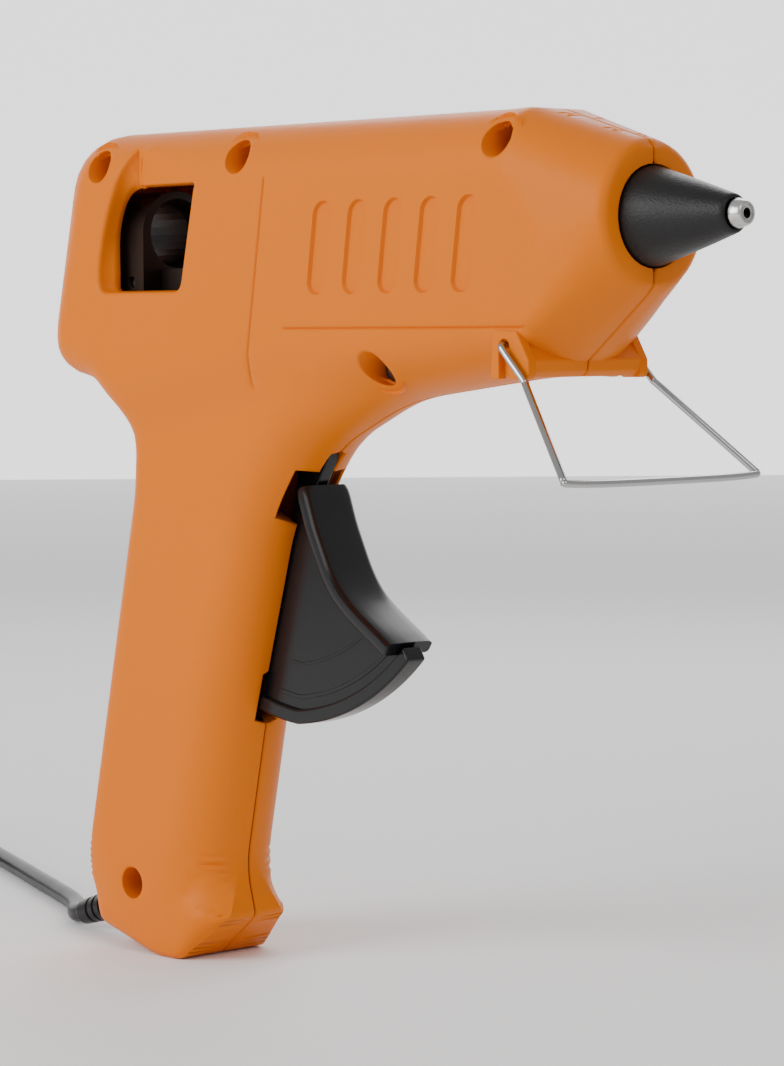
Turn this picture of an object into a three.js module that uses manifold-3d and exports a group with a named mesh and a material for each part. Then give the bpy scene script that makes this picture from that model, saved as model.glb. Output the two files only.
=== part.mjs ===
// A mains-powered hot-melt glue gun, modelled piece by piece.
// Millimetres, +Z up, the nozzle points along +X, the parting plane of the housing is Y = 0.
import * as THREE from "three";
import { mergeVertices } from "three/addons/utils/BufferGeometryUtils.js";
import { ConvexGeometry } from "three/addons/geometries/ConvexGeometry.js";
import Module from "manifold-3d";

const wasm = await Module();
wasm.setup();

// ---------------------------------------------------------------- driving dimensions

// Fits
const touchGap = 0.3; // between pieces that touch
const slideGap = 0.4; // between pieces that move past each other
const screwGap = 0.3; // round a screw shank
const sliver = 0.02; // faces thinner than this are merged into their neighbours

// Housing
const wall = 2.2;
const gripHeight = 127; // from the foot of the grip to the underside of the barrel
const barrelHeight = 52.2;
const axisBelowTop = 21.7; // from the top of the barrel down to the stick axis
const barrelHalfWidth = 16.4;
const gripHalfWidth = 13;
const noseX = 71.5; // front face of the barrel
const noseTaper = 24.5; // length over which the barrel narrows to the front face
const noseRadius = 14.7;
const rearX = -98.9; // where the leaning rear face would meet the underside
const lean = 0.14; // how far the rear face and the slots lean forward
const barrelEdge = 6; // rounding of the barrel's long edges
const gripEdge = 4.5; // rounding of the grip's edges, seen from the side
const gripEdgeDepth = 8; // rounding of the grip's edges, across its width

// Window over the carriage
const windowLeftX = -75.5;
const windowRightX = -50.4;
const windowBelowAxis = 12.9;
const windowAboveAxis = 9.9;
const windowFrameDepth = 4.2;

// Blind slots in the side
const slotCount = 5;
const firstSlotX = -5.6;
const slotPitch = 10.5;
const slotWidth = 5.6;
const slotHeight = 19;
const slotDepth = 0.7;
const slotBelowAxis = 4.6; // from the axis down to the middle of a slot

// Screws that close the housing: place, and whether it is in the grip
const headDepth = 8; // from the outside to the seat of a head
const recessRadius = 3.5;
const bossWall = 1.4;
const headRadius = 2.8;
const headHeight = 2.2;
const shankRadius = 1.4;
const shankReach = 9; // past the parting plane

// Stick path
const stickBore = 5.9;

// Trigger
const pivotX = -24;
const pivotBelowBarrel = 14;
const triggerPinRadius = 2;
const bladeThickness = 3;
const hubRadius = 5;
const rimRadius = 60.6; // from the pivot to the foot of the rim
const rimWidth = 5.2;
const rimHeight = 3.2;
const rimLift = 0.19; // mm that the rim rises for each degree forward of rimLiftFrom
const rimLiftFrom = -5;
const triggerTravel = 22; // degrees of a full pull
const plateWidth = 13.2;
const plateThickness = 3.2;
const armLength = 36; // from the pivot to the drive pin
const armAngle = 46.1; // degrees the arm leans back from upright
const armWidth = 7;
const drivePinRadius = 1.5;

// Carriage
const carriageFrontX = -70;
const carriageLength = 19.5;
const carriageHalfWidth = 9.8;
const carriageArch = 9.2; // from the axis to the top of the arch
const carriageBore = 6.5;
const carriageMouth = 7.8;
const carriageFloor = 14.3; // below the axis
const cheekThickness = 2.5;
const pawlPinRadius = 1;

// Melt chamber and heater
const chamberRadius = 9;
const chamberRearX = -6;
const chamberFrontX = 57;
const nippleRadius = 7.2;
const nippleLength = 10;
const heaterLength = 34;
const heaterWidth = 11;
const heaterThickness = 2.4;
const contactThickness = 0.6;
const wrapThickness = 0.5;

// Nozzle
const coverReach = 20.3; // cone in front of the housing
const coverRadius = 9.6;
const coverEndRadius = 3.7;
const tipReach = 23.2; // metal tip in front of the housing
const tipRadius = 2.9;
const tipEndRadius = 2.3;
const orificeRadius = 1;
const valveBore = 2.1;

// Wire stand
const wireRadius = 0.75;
const standPivotX = 47.6;
const standPivotRise = 6.2; // above the underside of the barrel
const standHalfWidth = 27.7;
const standForward = 26.2;
const standDrop = 25.6;

// Cord
const cordRadius = 2.15;
const coilMeanRadius = 25;
const coilHalfWidth = 8.8;
const coilHeight = 8.9;
const coilX = -250;
const coilY = 24;

// ---------------------------------------------------------------- derived places

const barrelTop = gripHeight + barrelHeight;
const axisZ = barrelTop - axisBelowTop;
const pivotZ = gripHeight - pivotBelowBarrel;
const innerHalfWidth = barrelHalfWidth - wall;
const noseStartX = noseX - noseTaper;
const standPivotZ = gripHeight + standPivotRise;
const carriageRearX = carriageFrontX - carriageLength;
const carriageFloorZ = axisZ - carriageFloor;
const bossRadius = recessRadius + bossWall;
const screwPlaces = [
  { x: -78, z: barrelTop - 7.3, halfWidth: barrelHalfWidth },
  { x: -32.1, z: barrelTop - 6.9, halfWidth: barrelHalfWidth },
  { x: noseX - 27.8, z: barrelTop - 6.4, halfWidth: barrelHalfWidth },
  { x: 7, z: gripHeight + 1.4, halfWidth: barrelHalfWidth },
  { x: -72.6, z: 15.1, halfWidth: gripHalfWidth },
];

// ---------------------------------------------------------------- helpers

function toSolid(geometry) {
  const bare = new THREE.BufferGeometry();
  bare.setAttribute("position", geometry.getAttribute("position"));
  if (geometry.index) bare.setIndex(geometry.index);
  const merged = mergeVertices(bare, 1e-4);
  return new wasm.Manifold(
    new wasm.Mesh({
      numProp: 3,
      vertProperties: new Float32Array(merged.getAttribute("position").array),
      triVerts: new Uint32Array(merged.index.array),
    }),
  );
}

function toMesh(name, solid, material) {
  const data = solid.simplify(sliver).getMesh();
  const geometry = new THREE.BufferGeometry();
  const positions = new Float32Array(data.vertProperties);
  geometry.setAttribute("position", new THREE.BufferAttribute(positions, 3));
  geometry.setIndex(new THREE.BufferAttribute(new Uint32Array(data.triVerts), 1));
  const flat = geometry.toNonIndexed();
  flat.computeVertexNormals();
  const mesh = new THREE.Mesh(flat, material);
  mesh.name = name;
  return mesh;
}

function joined(solids) {
  return solids.reduce((all, one) => all.add(one));
}

function box([x0, x1], [y0, y1], [z0, z1]) {
  const geometry = new THREE.BoxGeometry(x1 - x0, y1 - y0, z1 - z0);
  geometry.translate((x0 + x1) / 2, (y0 + y1) / 2, (z0 + z1) / 2);
  return toSolid(geometry);
}

function rodX(radius, x0, x1, y, z, sides = 24) {
  const geometry = new THREE.CylinderGeometry(radius, radius, x1 - x0, sides);
  geometry.rotateZ(-Math.PI / 2).translate((x0 + x1) / 2, y, z);
  return toSolid(geometry);
}

function rodY(radius, x, z, y0, y1, sides = 16) {
  const geometry = new THREE.CylinderGeometry(radius, radius, y1 - y0, sides);
  geometry.translate(x, (y0 + y1) / 2, z);
  return toSolid(geometry);
}

// A body of revolution about a line along X at the given height: profile points are [x, radius].
function turned(profile, z, sides = 24) {
  const points = profile.map(([x, radius]) => new THREE.Vector2(radius, x));
  const geometry = new THREE.LatheGeometry(points, sides);
  geometry.rotateZ(-Math.PI / 2).translate(0, 0, z);
  const solid = toSolid(geometry);
  if (solid.volume() > 0) return solid;
  const reversed = new THREE.LatheGeometry(points.reverse(), sides);
  return toSolid(reversed.rotateZ(-Math.PI / 2).translate(0, 0, z));
}

// A closed outline whose corners are [x, z, ease]: ease is how far from the corner its rounding starts.
function outline(corners) {
  const shape = new THREE.Shape();
  const points = corners.map(([x, z]) => new THREE.Vector2(x, z));
  corners.forEach(([, , ease = 0], i) => {
    const corner = points[i];
    const before = points[(i + points.length - 1) % points.length];
    const after = points[(i + 1) % points.length];
    const start = corner.clone().add(before.clone().sub(corner).setLength(ease || 1e-6));
    const end = corner.clone().add(after.clone().sub(corner).setLength(ease || 1e-6));
    const first = ease ? start : corner;
    if (i === 0) shape.moveTo(first.x, first.y);
    else shape.lineTo(first.x, first.y);
    if (ease) shape.quadraticCurveTo(corner.x, corner.y, end.x, end.y);
  });
  return shape;
}

// An outline in the side view, extruded across Y between two planes.
function slab(shape, y0, y1, curveSegments = 5) {
  const geometry = new THREE.ExtrudeGeometry(shape, {
    depth: y1 - y0,
    bevelEnabled: false,
    curveSegments,
  });
  geometry.rotateX(Math.PI / 2).translate(0, y1, 0);
  return toSolid(geometry);
}

// The same with rounded edges, shrunk all round by inset.
function roundedSlab(shape, halfWidth, inset, edge, edgeDepth) {
  const geometry = new THREE.ExtrudeGeometry(shape, {
    depth: 2 * (halfWidth - inset - edgeDepth),
    bevelThickness: edgeDepth,
    bevelSize: edge,
    bevelOffset: -edge - inset,
    bevelSegments: 2,
    curveSegments: 4,
  });
  geometry.rotateX(Math.PI / 2).translate(0, halfWidth - inset - edgeDepth, 0);
  return toSolid(geometry);
}

// An outline in the front view [y, z], extruded along X between two planes.
function profileX(shape, x0, x1, curveSegments = 8) {
  const geometry = new THREE.ExtrudeGeometry(shape, {
    depth: x1 - x0,
    bevelEnabled: false,
    curveSegments,
  });
  geometry.rotateZ(Math.PI / 2).rotateY(Math.PI / 2).translate(x0, 0, 0);
  return toSolid(geometry);
}

// A round tube through points.
function tube(points, radius, steps, sides = 8, tension = 0.5) {
  const section = new THREE.Shape();
  for (let i = 0; i < sides; i++) {
    const angle = (2 * Math.PI * i) / sides;
    const x = radius * Math.cos(angle);
    const y = radius * Math.sin(angle);
    if (i === 0) section.moveTo(x, y);
    else section.lineTo(x, y);
  }
  const places = points.map(([x, y, z]) => new THREE.Vector3(x, y, z));
  const path = new THREE.CatmullRomCurve3(places, false, "catmullrom", tension);
  return toSolid(new THREE.ExtrudeGeometry(section, { steps, extrudePath: path }));
}

function helix(x0, x1, y, z, coilRadius, turns, stepsPerTurn = 8) {
  const count = turns * stepsPerTurn;
  return Array.from({ length: count + 1 }, (_, i) => {
    const angle = (2 * Math.PI * i) / stepsPerTurn;
    const x = x0 + ((x1 - x0) * i) / count;
    return [x, y + coilRadius * Math.cos(angle), z + coilRadius * Math.sin(angle)];
  });
}

// ---------------------------------------------------------------- housing

function barrelOutline() {
  const topRearX = rearX + lean * barrelHeight;
  return outline([
    [topRearX, barrelTop, 14],
    [noseStartX, barrelTop],
    [noseStartX, gripHeight],
    [rearX, gripHeight, 11],
  ]);
}

function gripOutline() {
  const top = gripHeight;
  return outline([
    [noseStartX - 3, top + 9],
    [-84, top + 9],
    [-84, top - 2, 3],
    [-73.4, top - 12, 5],
    [-73.4, top - 25, 3],
    [-91.9, 17, 4],
    [-86, 5],
    [-65.5, 0],
    [-57.2, 0],
    [-45.6, 9.8],
    [-48.4, 20, 3],
    [-41.4, top - 74],
    [-29, top - 31, 7],
    [-18, top - 15.5, 8],
    [4, top - 5.4, 8],
    [noseStartX - 3, top],
  ]);
}

// The barrel's end section at noseStartX runs into the round front face.
function nose(inset) {
  const halfWidth = barrelHalfWidth - inset;
  const top = barrelTop - inset;
  const bottom = gripHeight + inset;
  const edge = barrelEdge + 2;
  const points = [];
  const addSection = (x) => {
    for (const [sideY, sideZ] of [[1, 1], [-1, 1], [-1, -1], [1, -1]]) {
      for (let i = 0; i <= 3; i++) {
        const angle = (i * Math.PI) / 6;
        const y = sideY * (halfWidth - edge + edge * Math.cos(angle));
        const level = sideZ > 0 ? top - edge : bottom + edge;
        points.push(new THREE.Vector3(x, y, level + sideZ * edge * Math.sin(angle)));
      }
    }
  };
  const addCircle = (x, radius) => {
    for (let i = 0; i < 32; i++) {
      const angle = (i * Math.PI) / 16;
      const y = radius * Math.cos(angle);
      points.push(new THREE.Vector3(x, y, axisZ + radius * Math.sin(angle)));
    }
  };
  addSection(noseStartX - 8);
  addSection(noseStartX);
  addCircle(noseX - 1.6 - inset, noseRadius - inset);
  addCircle(noseX - inset, noseRadius - 1.8 - inset);
  return toSolid(new ConvexGeometry(points));
}

// The outside of the housing, or with an inset its hollow, whose edges are half as round.
function housingBlank(inset) {
  const share = inset > 0 ? 0.5 : 1;
  const barrelDepth = share * (barrelEdge + 1);
  const gripDepth = share * gripEdgeDepth;
  return joined([
    roundedSlab(barrelOutline(), barrelHalfWidth, inset, share * barrelEdge, barrelDepth),
    roundedSlab(gripOutline(), gripHalfWidth, inset, share * gripEdge, gripDepth),
    nose(inset),
  ]);
}

function windowOutline() {
  const bottom = axisZ - windowBelowAxis;
  const top = axisZ + windowAboveAxis;
  return outline([
    [windowLeftX, bottom, 1.5],
    [windowRightX, bottom, 2.2],
    [windowRightX + 0.2 * (top - bottom), top],
    [windowLeftX + 4, top, 5],
    [windowLeftX, top - 9, 4],
  ]);
}

function windowFrame(side) {
  const outer = slab(
    outline([
      [windowLeftX - 2.5, axisZ - windowBelowAxis - 1.6],
      [windowRightX + 7, axisZ - windowBelowAxis - 1.6],
      [windowRightX + 9, barrelTop - wall],
      [windowLeftX + 1, barrelTop - wall],
      [windowLeftX - 2.5, axisZ + 2],
    ]),
    Math.min(side * (barrelHalfWidth - windowFrameDepth), side * barrelHalfWidth),
    Math.max(side * (barrelHalfWidth - windowFrameDepth), side * barrelHalfWidth),
  );
  return outer;
}

// The sunken face above the window: deepest at its rear end, flush at its front end.
function windowScoop(side) {
  const outside = side * (barrelHalfWidth + 1);
  const deep = side * (barrelHalfWidth - 2.6);
  const flush = side * barrelHalfWidth;
  const bottom = axisZ + windowAboveAxis - 0.5;
  const top = barrelTop - 3;
  const rear = windowLeftX + 9;
  const front = windowRightX + 8;
  const points = [];
  for (const z of [bottom, top]) {
    points.push(new THREE.Vector3(rear, outside, z), new THREE.Vector3(rear, deep, z));
    points.push(new THREE.Vector3(front, outside, z), new THREE.Vector3(front, flush, z));
  }
  return toSolid(new ConvexGeometry(points));
}

function slotCut(index, side) {
  const x = firstSlotX + index * slotPitch;
  const half = slotWidth / 2;
  const middle = axisZ - slotBelowAxis;
  const slant = (z) => lean * (z - middle);
  const top = middle + slotHeight / 2;
  const bottom = middle - slotHeight / 2;
  const shape = outline([
    [x - half + slant(bottom), bottom, 2.6],
    [x + half + slant(bottom), bottom, 2.6],
    [x + half + slant(top), top, 2.6],
    [x - half + slant(top), top, 2.6],
  ]);
  const inner = side * (barrelHalfWidth - slotDepth);
  const outer = side * (barrelHalfWidth + 1);
  return slab(shape, Math.min(inner, outer), Math.max(inner, outer), 2);
}

function sideRange(side, near, far) {
  return side < 0 ? [-far, -near] : [near, far];
}

function chamberCradle(x, side) {
  const plate = box(
    [x, x + wall],
    sideRange(side, touchGap / 2, barrelHalfWidth),
    [gripHeight, barrelTop],
  );
  return plate.subtract(chamberEnvelope(touchGap));
}

function chamberEnvelope(clearance) {
  const pocket = heaterPocket();
  const halfWidth = pocket.halfWidth + wall + clearance;
  return joined([
    rodX(chamberRadius + clearance, chamberRearX - 40, chamberFrontX + 20, 0, axisZ, 32),
    box(
      [chamberRearX - 40, chamberFrontX + 20],
      [-halfWidth, halfWidth],
      [pocket.bottom - wall - clearance, axisZ],
    ),
  ]);
}

function trackSupports(side) {
  const railTop = carriageFloorZ - slideGap;
  const guideFoot = axisZ + carriageArch + slideGap;
  const length = [carriageRearX - 2, carriageFrontX + 17];
  return joined([
    box(length, sideRange(side, carriageHalfWidth / 2 + 0.6, barrelHalfWidth), [
      railTop - wall,
      railTop,
    ]),
    box(length, sideRange(side, touchGap / 2, 2.5), [guideFoot, barrelTop]),
  ]);
}

function screwBoss({ x, z, halfWidth }, side) {
  const reach = sideRange(side, touchGap / 2, halfWidth);
  return rodY(bossRadius, x, z, ...reach);
}

function screwCut({ x, z, halfWidth }, side) {
  const seat = headSeat(halfWidth);
  if (side < 0) {
    const recess = rodY(recessRadius, x, z, -halfWidth - 5, -seat);
    return recess.add(rodY(shankRadius + screwGap, x, z, -seat - 1, 0, 12));
  }
  return rodY(shankRadius + screwGap, x, z, 0, shankReach + touchGap, 12);
}

function headSeat(halfWidth) {
  return halfWidth - headDepth;
}

function pivotBoss(side) {
  const near = bladeThickness / 2 + slideGap;
  const boss = rodY(triggerPinRadius + 2.2, pivotX, pivotZ, ...sideRange(side, near, gripHalfWidth));
  const rib = box(
    [pivotX - 1, pivotX + 1],
    sideRange(side, near + 2, barrelHalfWidth),
    [pivotZ, gripHeight + 4],
  );
  return boss.add(rib);
}

// The slot in the front of the grip that the trigger blade and its rim swing through.
function triggerSlot() {
  const rimFoot = pivotZ - rimRadius;
  const rimTop = rimFoot + rimHeight + rimLift * triggerTravel + 2 * slideGap;
  const half = bladeThickness / 2 + slideGap;
  const halfRim = rimWidth / 2 + slideGap;
  const halfPlate = plateWidth / 2 + slideGap;
  const bladeCut = slab(
    outline([
      [-62, rimFoot - 0.6],
      [-10, rimFoot - 0.6],
      [8, pivotZ - 2],
      [pivotX - 4, pivotZ + 6],
      [-62, pivotZ],
    ]),
    -half,
    half,
  );
  const rimCut = slab(
    outline([
      [-66, rimFoot - 0.6],
      [-20, rimFoot - 0.6],
      [-20, rimTop],
      [-66, rimTop],
    ]),
    -halfRim,
    halfRim,
  );
  const platePocket = slab(
    outline([
      [pivotX - 6, pivotZ - 24],
      [10, pivotZ - 24],
      [10, pivotZ - 5.5],
      [pivotX - 3, pivotZ - 5.5],
      [pivotX - 6, pivotZ - 12],
    ]),
    -halfPlate,
    halfPlate,
  );
  return joined([bladeCut, rimCut, platePocket]);
}

// The flat pad under the nose that carries the wire stand.
function standPad(side) {
  const foot = gripHeight - 0.5;
  return slab(
    outline([
      [standPivotX - 4, foot],
      [standPivotX + 6.4, foot],
      [standPivotX + 6.4, foot + 3.6],
      [standPivotX + 3, standPivotZ + 3],
      [standPivotX - 4, standPivotZ + 3],
    ]),
    ...sideRange(side, touchGap / 2, barrelHalfWidth + 0.5),
  );
}

function standHole(side) {
  const range = sideRange(side, innerHalfWidth - 1.5, barrelHalfWidth + 2);
  return rodY(wireRadius + slideGap + 0.1, standPivotX, standPivotZ, ...range, 12);
}

const bootStart = new THREE.Vector3(-82.6, 0, 9.8);
const bootEnd = new THREE.Vector3(-105.6, 0, 3.2);
const bootRadius = 3.5;
const bootEndRadius = 2.85;
const bootFlange = 4.3;
const bootFlangeLength = 1.3;

// A body of revolution about the boot's axis: profile points are [distance from its inner end, radius].
function alongBoot(profile, sides = 20) {
  const points = profile.map(([along, radius]) => new THREE.Vector2(radius, along));
  const axis = bootEnd.clone().sub(bootStart).normalize();
  const turn = new THREE.Quaternion().setFromUnitVectors(new THREE.Vector3(0, 1, 0), axis);
  const geometry = new THREE.LatheGeometry(points, sides);
  geometry.applyQuaternion(turn).translate(bootStart.x, bootStart.y, bootStart.z);
  return toSolid(geometry);
}

function bootCut() {
  const length = bootEnd.distanceTo(bootStart);
  return alongBoot([
    [-6, 0],
    [-6, bootFlange + touchGap],
    [bootFlangeLength + touchGap, bootFlange + touchGap],
    [bootFlangeLength + touchGap, bootRadius + touchGap],
    [length, bootRadius + touchGap],
    [length, 0],
  ]);
}

const lensZ = gripHeight - 17;
const lensHalfHeight = 3.4;
const lensHalfWidth = 5;
const lensRearX = -72.6;
const lensDepth = 3.4;

// An upright oval through the rear of the neck.
function lensOval(clearance, x0, x1) {
  const geometry = new THREE.CylinderGeometry(1, 1, x1 - x0, 24);
  geometry.rotateZ(-Math.PI / 2);
  geometry.scale(1, lensHalfWidth + clearance, lensHalfHeight + clearance);
  geometry.translate((x0 + x1) / 2, 0, lensZ);
  return toSolid(geometry);
}

const clampX = -79.5;
const clampScrewZ = 19.4;
const clampNearY = cordRadius + slideGap;

function clampPost() {
  const post = rodY(2.4, clampX, clampScrewZ, -clampNearY + touchGap, gripHalfWidth, 16);
  return post.subtract(rodY(1.1 + screwGap, clampX, clampScrewZ, -clampNearY - 1, 6.3, 12));
}

const springY = 8.4;
const springZ = axisZ - 21.2;
const springRearX = -81;
const springFrontX = -55.6;
const springRadius = 1.5;

function springPost() {
  return box([springRearX - 4.6, springRearX - 1.8], [springY - 2.2, barrelHalfWidth], [
    springZ - 2.2,
    springZ + 2.2,
  ]);
}

function housingHalf(side) {
  const blank = housingBlank(0);
  const half = blank.intersect(
    box([-200, 200], sideRange(side, touchGap / 2, 60), [-50, barrelTop + 50]),
  );
  const inside = [
    chamberCradle(chamberRearX + nippleLength + 3, side),
    chamberCradle(chamberFrontX - 9, side),
    trackSupports(side),
    windowFrame(side),
    pivotBoss(side),
    ...screwPlaces.map((place) => screwBoss(place, side)),
  ];
  if (side > 0) inside.push(clampPost().intersect(blank), springPost());
  const hollow = half.subtract(housingBlank(wall));
  const trackFree = joined([hollow, joined(inside).intersect(side > 0 ? blank : half)]);
  const cuts = [
    slab(windowOutline(), ...sideRange(side, carriageHalfWidth + 1, barrelHalfWidth + 3)),
    windowScoop(side),
    triggerSlot(),
    bootCut(),
    standHole(side),
    lensOval(touchGap, lensRearX - 5, lensRearX + lensDepth + touchGap),
    rodX(stickBore + 0.7, rearX - 10, carriageRearX - touchGap, 0, axisZ),
    rodX(coverRadius + slideGap, noseX - wall - 3, noseX + 5, 0, axisZ, 32),
    ...screwPlaces.map((place) => screwCut(place, side)),
  ];
  for (let i = 0; i < slotCount; i++) cuts.push(slotCut(i, side));
  return trackFree.add(standPad(side).subtract(nose(wall))).subtract(joined(cuts));
}

function housingScrew({ x, z, halfWidth }) {
  const seat = headSeat(halfWidth) + touchGap;
  const head = rodY(headRadius, x, z, -seat - headHeight, -seat);
  const shank = rodY(shankRadius, x, z, -seat - 0.5, shankReach, 10);
  const cross = box([x - 1.6, x + 1.6], [-seat - headHeight - 1, -seat - 1], [z - 0.4, z + 0.4]);
  const across = box([x - 0.4, x + 0.4], [-seat - headHeight - 1, -seat - 1], [z - 1.6, z + 1.6]);
  return head.add(shank).subtract(cross).subtract(across);
}

// ---------------------------------------------------------------- stick path, heater and nozzle

function heaterPocket() {
  const stack = heaterThickness + 2 * contactThickness + 2 * wrapThickness + 4 * 0.25;
  const top = axisZ - chamberRadius - 1.2;
  return {
    top,
    bottom: top - stack - 2 * touchGap,
    halfWidth: heaterWidth / 2 + 0.25 + wrapThickness + touchGap,
    rearX: chamberRearX + nippleLength + 6,
  };
}

function meltChamber() {
  const pocket = heaterPocket();
  const bodyRearX = chamberRearX + nippleLength;
  const outletX = chamberFrontX - 7;
  const body = turned(
    [
      [chamberRearX, stickBore],
      [chamberRearX, nippleRadius],
      [bodyRearX, nippleRadius],
      [bodyRearX, chamberRadius],
      [chamberFrontX, chamberRadius],
      [chamberFrontX, 4.3],
      [outletX, 4.3],
      [outletX, 1.4],
      [outletX - 1.5, 1.4],
      [outletX - 14, stickBore],
      [chamberRearX, stickBore],
    ],
    axisZ,
  );
  const block = box(
    [pocket.rearX, pocket.rearX + heaterLength],
    [-pocket.halfWidth - wall, pocket.halfWidth + wall],
    [pocket.bottom - wall, axisZ - stickBore - 1],
  );
  const cavity = box(
    [pocket.rearX - 1, pocket.rearX + heaterLength + 1],
    [-pocket.halfWidth, pocket.halfWidth],
    [pocket.bottom, pocket.top],
  );
  const bore = rodX(stickBore, chamberRearX + 1, outletX - 14, 0, axisZ, 32);
  return body.add(block.subtract(cavity).subtract(bore));
}

// The heater stack, from the floor of the pocket up: wrap, contact, ceramic, contact, wrap.
function heaterLevels() {
  const { bottom } = heaterPocket();
  const wrapFloor = bottom + touchGap;
  const lower = wrapFloor + wrapThickness + 0.25;
  const ceramic = lower + contactThickness + 0.25;
  const upper = ceramic + heaterThickness + 0.25;
  const wrapTop = upper + contactThickness + 0.25 + wrapThickness;
  return { wrapFloor, lower, ceramic, upper, wrapTop };
}

function heaterWrap() {
  const { rearX: x } = heaterPocket();
  const { wrapFloor, wrapTop } = heaterLevels();
  const half = heaterWidth / 2 + 0.25 + wrapThickness;
  const outer = box([x + 0.5, x + heaterLength - 0.5], [-half, half], [wrapFloor, wrapTop]);
  const inner = half - wrapThickness;
  return outer.subtract(
    box([x - 1, x + heaterLength + 1], [-inner, inner], [
      wrapFloor + wrapThickness,
      wrapTop - wrapThickness,
    ]),
  );
}

function ptcHeater() {
  const { rearX: x } = heaterPocket();
  const { ceramic } = heaterLevels();
  const half = heaterWidth / 2;
  return box([x + 3, x + heaterLength - 3], [-half, half], [ceramic, ceramic + heaterThickness]);
}

// A contact strip with a tab at its rear end, on one side of the middle.
function contactPlate(level, side) {
  const { rearX: x } = heaterPocket();
  const strip = box(
    [x + 1.5, x + heaterLength - 1.5],
    [-heaterWidth / 2, heaterWidth / 2],
    [level, level + contactThickness],
  );
  const tab = box([x - 5, x + 2], sideRange(side, 1.2, heaterWidth / 2 - 0.4), [
    level,
    level + contactThickness,
  ]);
  return strip.add(tab);
}

function feedSleeve() {
  const nippleEnd = chamberRearX + nippleLength - touchGap;
  const overNipple = nippleRadius + touchGap;
  return turned(
    [
      [chamberRearX - 18, stickBore + 1.6],
      [chamberRearX - 18, stickBore + 3],
      [chamberRearX - 2, stickBore + 2.2],
      [chamberRearX - 1, overNipple + 1.6],
      [nippleEnd, overNipple + 1.6],
      [nippleEnd, overNipple],
      [chamberRearX - touchGap, overNipple],
      [chamberRearX - touchGap, stickBore + 0.2],
      [chamberRearX - 14, stickBore + 0.2],
      [chamberRearX - 18, stickBore + 1.6],
    ],
    axisZ,
    24,
  );
}

function sleeveClamp() {
  const inner = nippleRadius + touchGap + 1.6 + touchGap;
  const middle = chamberRearX + nippleLength / 2;
  const band = turned(
    [
      [middle - 1.8, inner],
      [middle - 1.8, inner + 0.8],
      [middle + 1.8, inner + 0.8],
      [middle + 1.8, inner],
      [middle - 1.8, inner],
    ],
    axisZ,
    24,
  );
  return band.subtract(
    box([middle - 5, middle + 5], [-1, 1], [axisZ + inner - 2, axisZ + inner + 4]),
  );
}

function nozzle() {
  const shankRear = chamberFrontX - 7 + touchGap;
  const collar = chamberFrontX + touchGap;
  const tip = noseX + tipReach;
  const coverEnd = noseX + coverReach;
  return turned(
    [
      [shankRear, valveBore],
      [shankRear, 4],
      [collar, 4],
      [collar, 6.4],
      [collar + 4, 6.4],
      [collar + 4, 5.2],
      [noseX, 5.2],
      [coverEnd + 0.4, tipRadius - 0.6],
      [coverEnd + 0.4, tipRadius],
      [tip - 0.6, tipEndRadius + 0.1],
      [tip, tipEndRadius - 0.3],
      [tip, orificeRadius],
      [tip - 9, orificeRadius],
      [tip - 11, valveBore],
      [shankRear, valveBore],
    ],
    axisZ,
  );
}

function nozzleCover() {
  const coverEnd = noseX + coverReach;
  const flangeFront = noseX - wall - touchGap - 0.4;
  const bore = 5.2 + touchGap;
  return turned(
    [
      [flangeFront - 1.6, bore],
      [flangeFront - 1.6, coverRadius + 1.4],
      [flangeFront, coverRadius + 1.4],
      [flangeFront, coverRadius],
      [noseX, coverRadius],
      [coverEnd - 0.5, coverEndRadius + 0.1],
      [coverEnd, coverEndRadius - 0.3],
      [coverEnd, tipRadius - 0.2],
      [noseX, bore + 0.3],
      [flangeFront - 1.6, bore],
    ],
    axisZ,
  );
}

const valveBallRadius = valveBore - touchGap;
const valveBallX = chamberFrontX - 7 + Math.sqrt(valveBallRadius ** 2 - 1.4 ** 2) + touchGap;

function valveBall() {
  const geometry = new THREE.SphereGeometry(valveBallRadius, 12, 8);
  geometry.translate(valveBallX, 0, axisZ);
  return toSolid(geometry);
}

function valveSpring() {
  const rear = valveBallX + valveBallRadius + 0.7;
  const front = noseX + tipReach - 12;
  return tube(helix(rear, front, 0, axisZ, 1.35, 6), 0.35, 42, 4);
}

// ---------------------------------------------------------------- trigger and feed

function polar(radius, degrees) {
  const angle = (degrees * Math.PI) / 180;
  return [pivotX + radius * Math.sin(angle), pivotZ - radius * Math.cos(angle)];
}

// The front edge of the finger plate, in the side view: it curves in towards the grip.
function platePoints(offset) {
  const front = [
    new THREE.Vector2(2.1, -9.2),
    new THREE.Vector2(6.2, -19.6),
    new THREE.Vector2(13.2, -31),
    new THREE.Vector2(27.6, -41.1),
  ];
  const curve = new THREE.SplineCurve(front);
  return curve.getPoints(10).map((point, i) => {
    const tangent = curve.getTangent(i / 10);
    const x = pivotX + point.x + offset * tangent.y;
    const z = pivotZ + point.y - offset * tangent.x;
    return new THREE.Vector2(x, z);
  });
}

function fingerPlate() {
  const front = platePoints(0);
  const back = platePoints(plateThickness);
  const shape = new THREE.Shape([...front, ...back.reverse()]);
  return slab(shape, -plateWidth / 2, plateWidth / 2);
}

function triggerBlade() {
  const rim = [];
  for (let degrees = -17; degrees <= 33; degrees += 5) {
    const shrink = Math.max(0, degrees - rimLiftFrom) * rimLift;
    rim.push(polar(rimRadius - shrink, degrees));
  }
  const front = platePoints(plateThickness / 2).map((p) => [p.x, p.y]);
  const shape = outline([...rim, ...front.reverse(), polar(hubRadius, 60), polar(hubRadius, -60)]);
  return slab(shape, -bladeThickness / 2, bladeThickness / 2);
}

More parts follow.
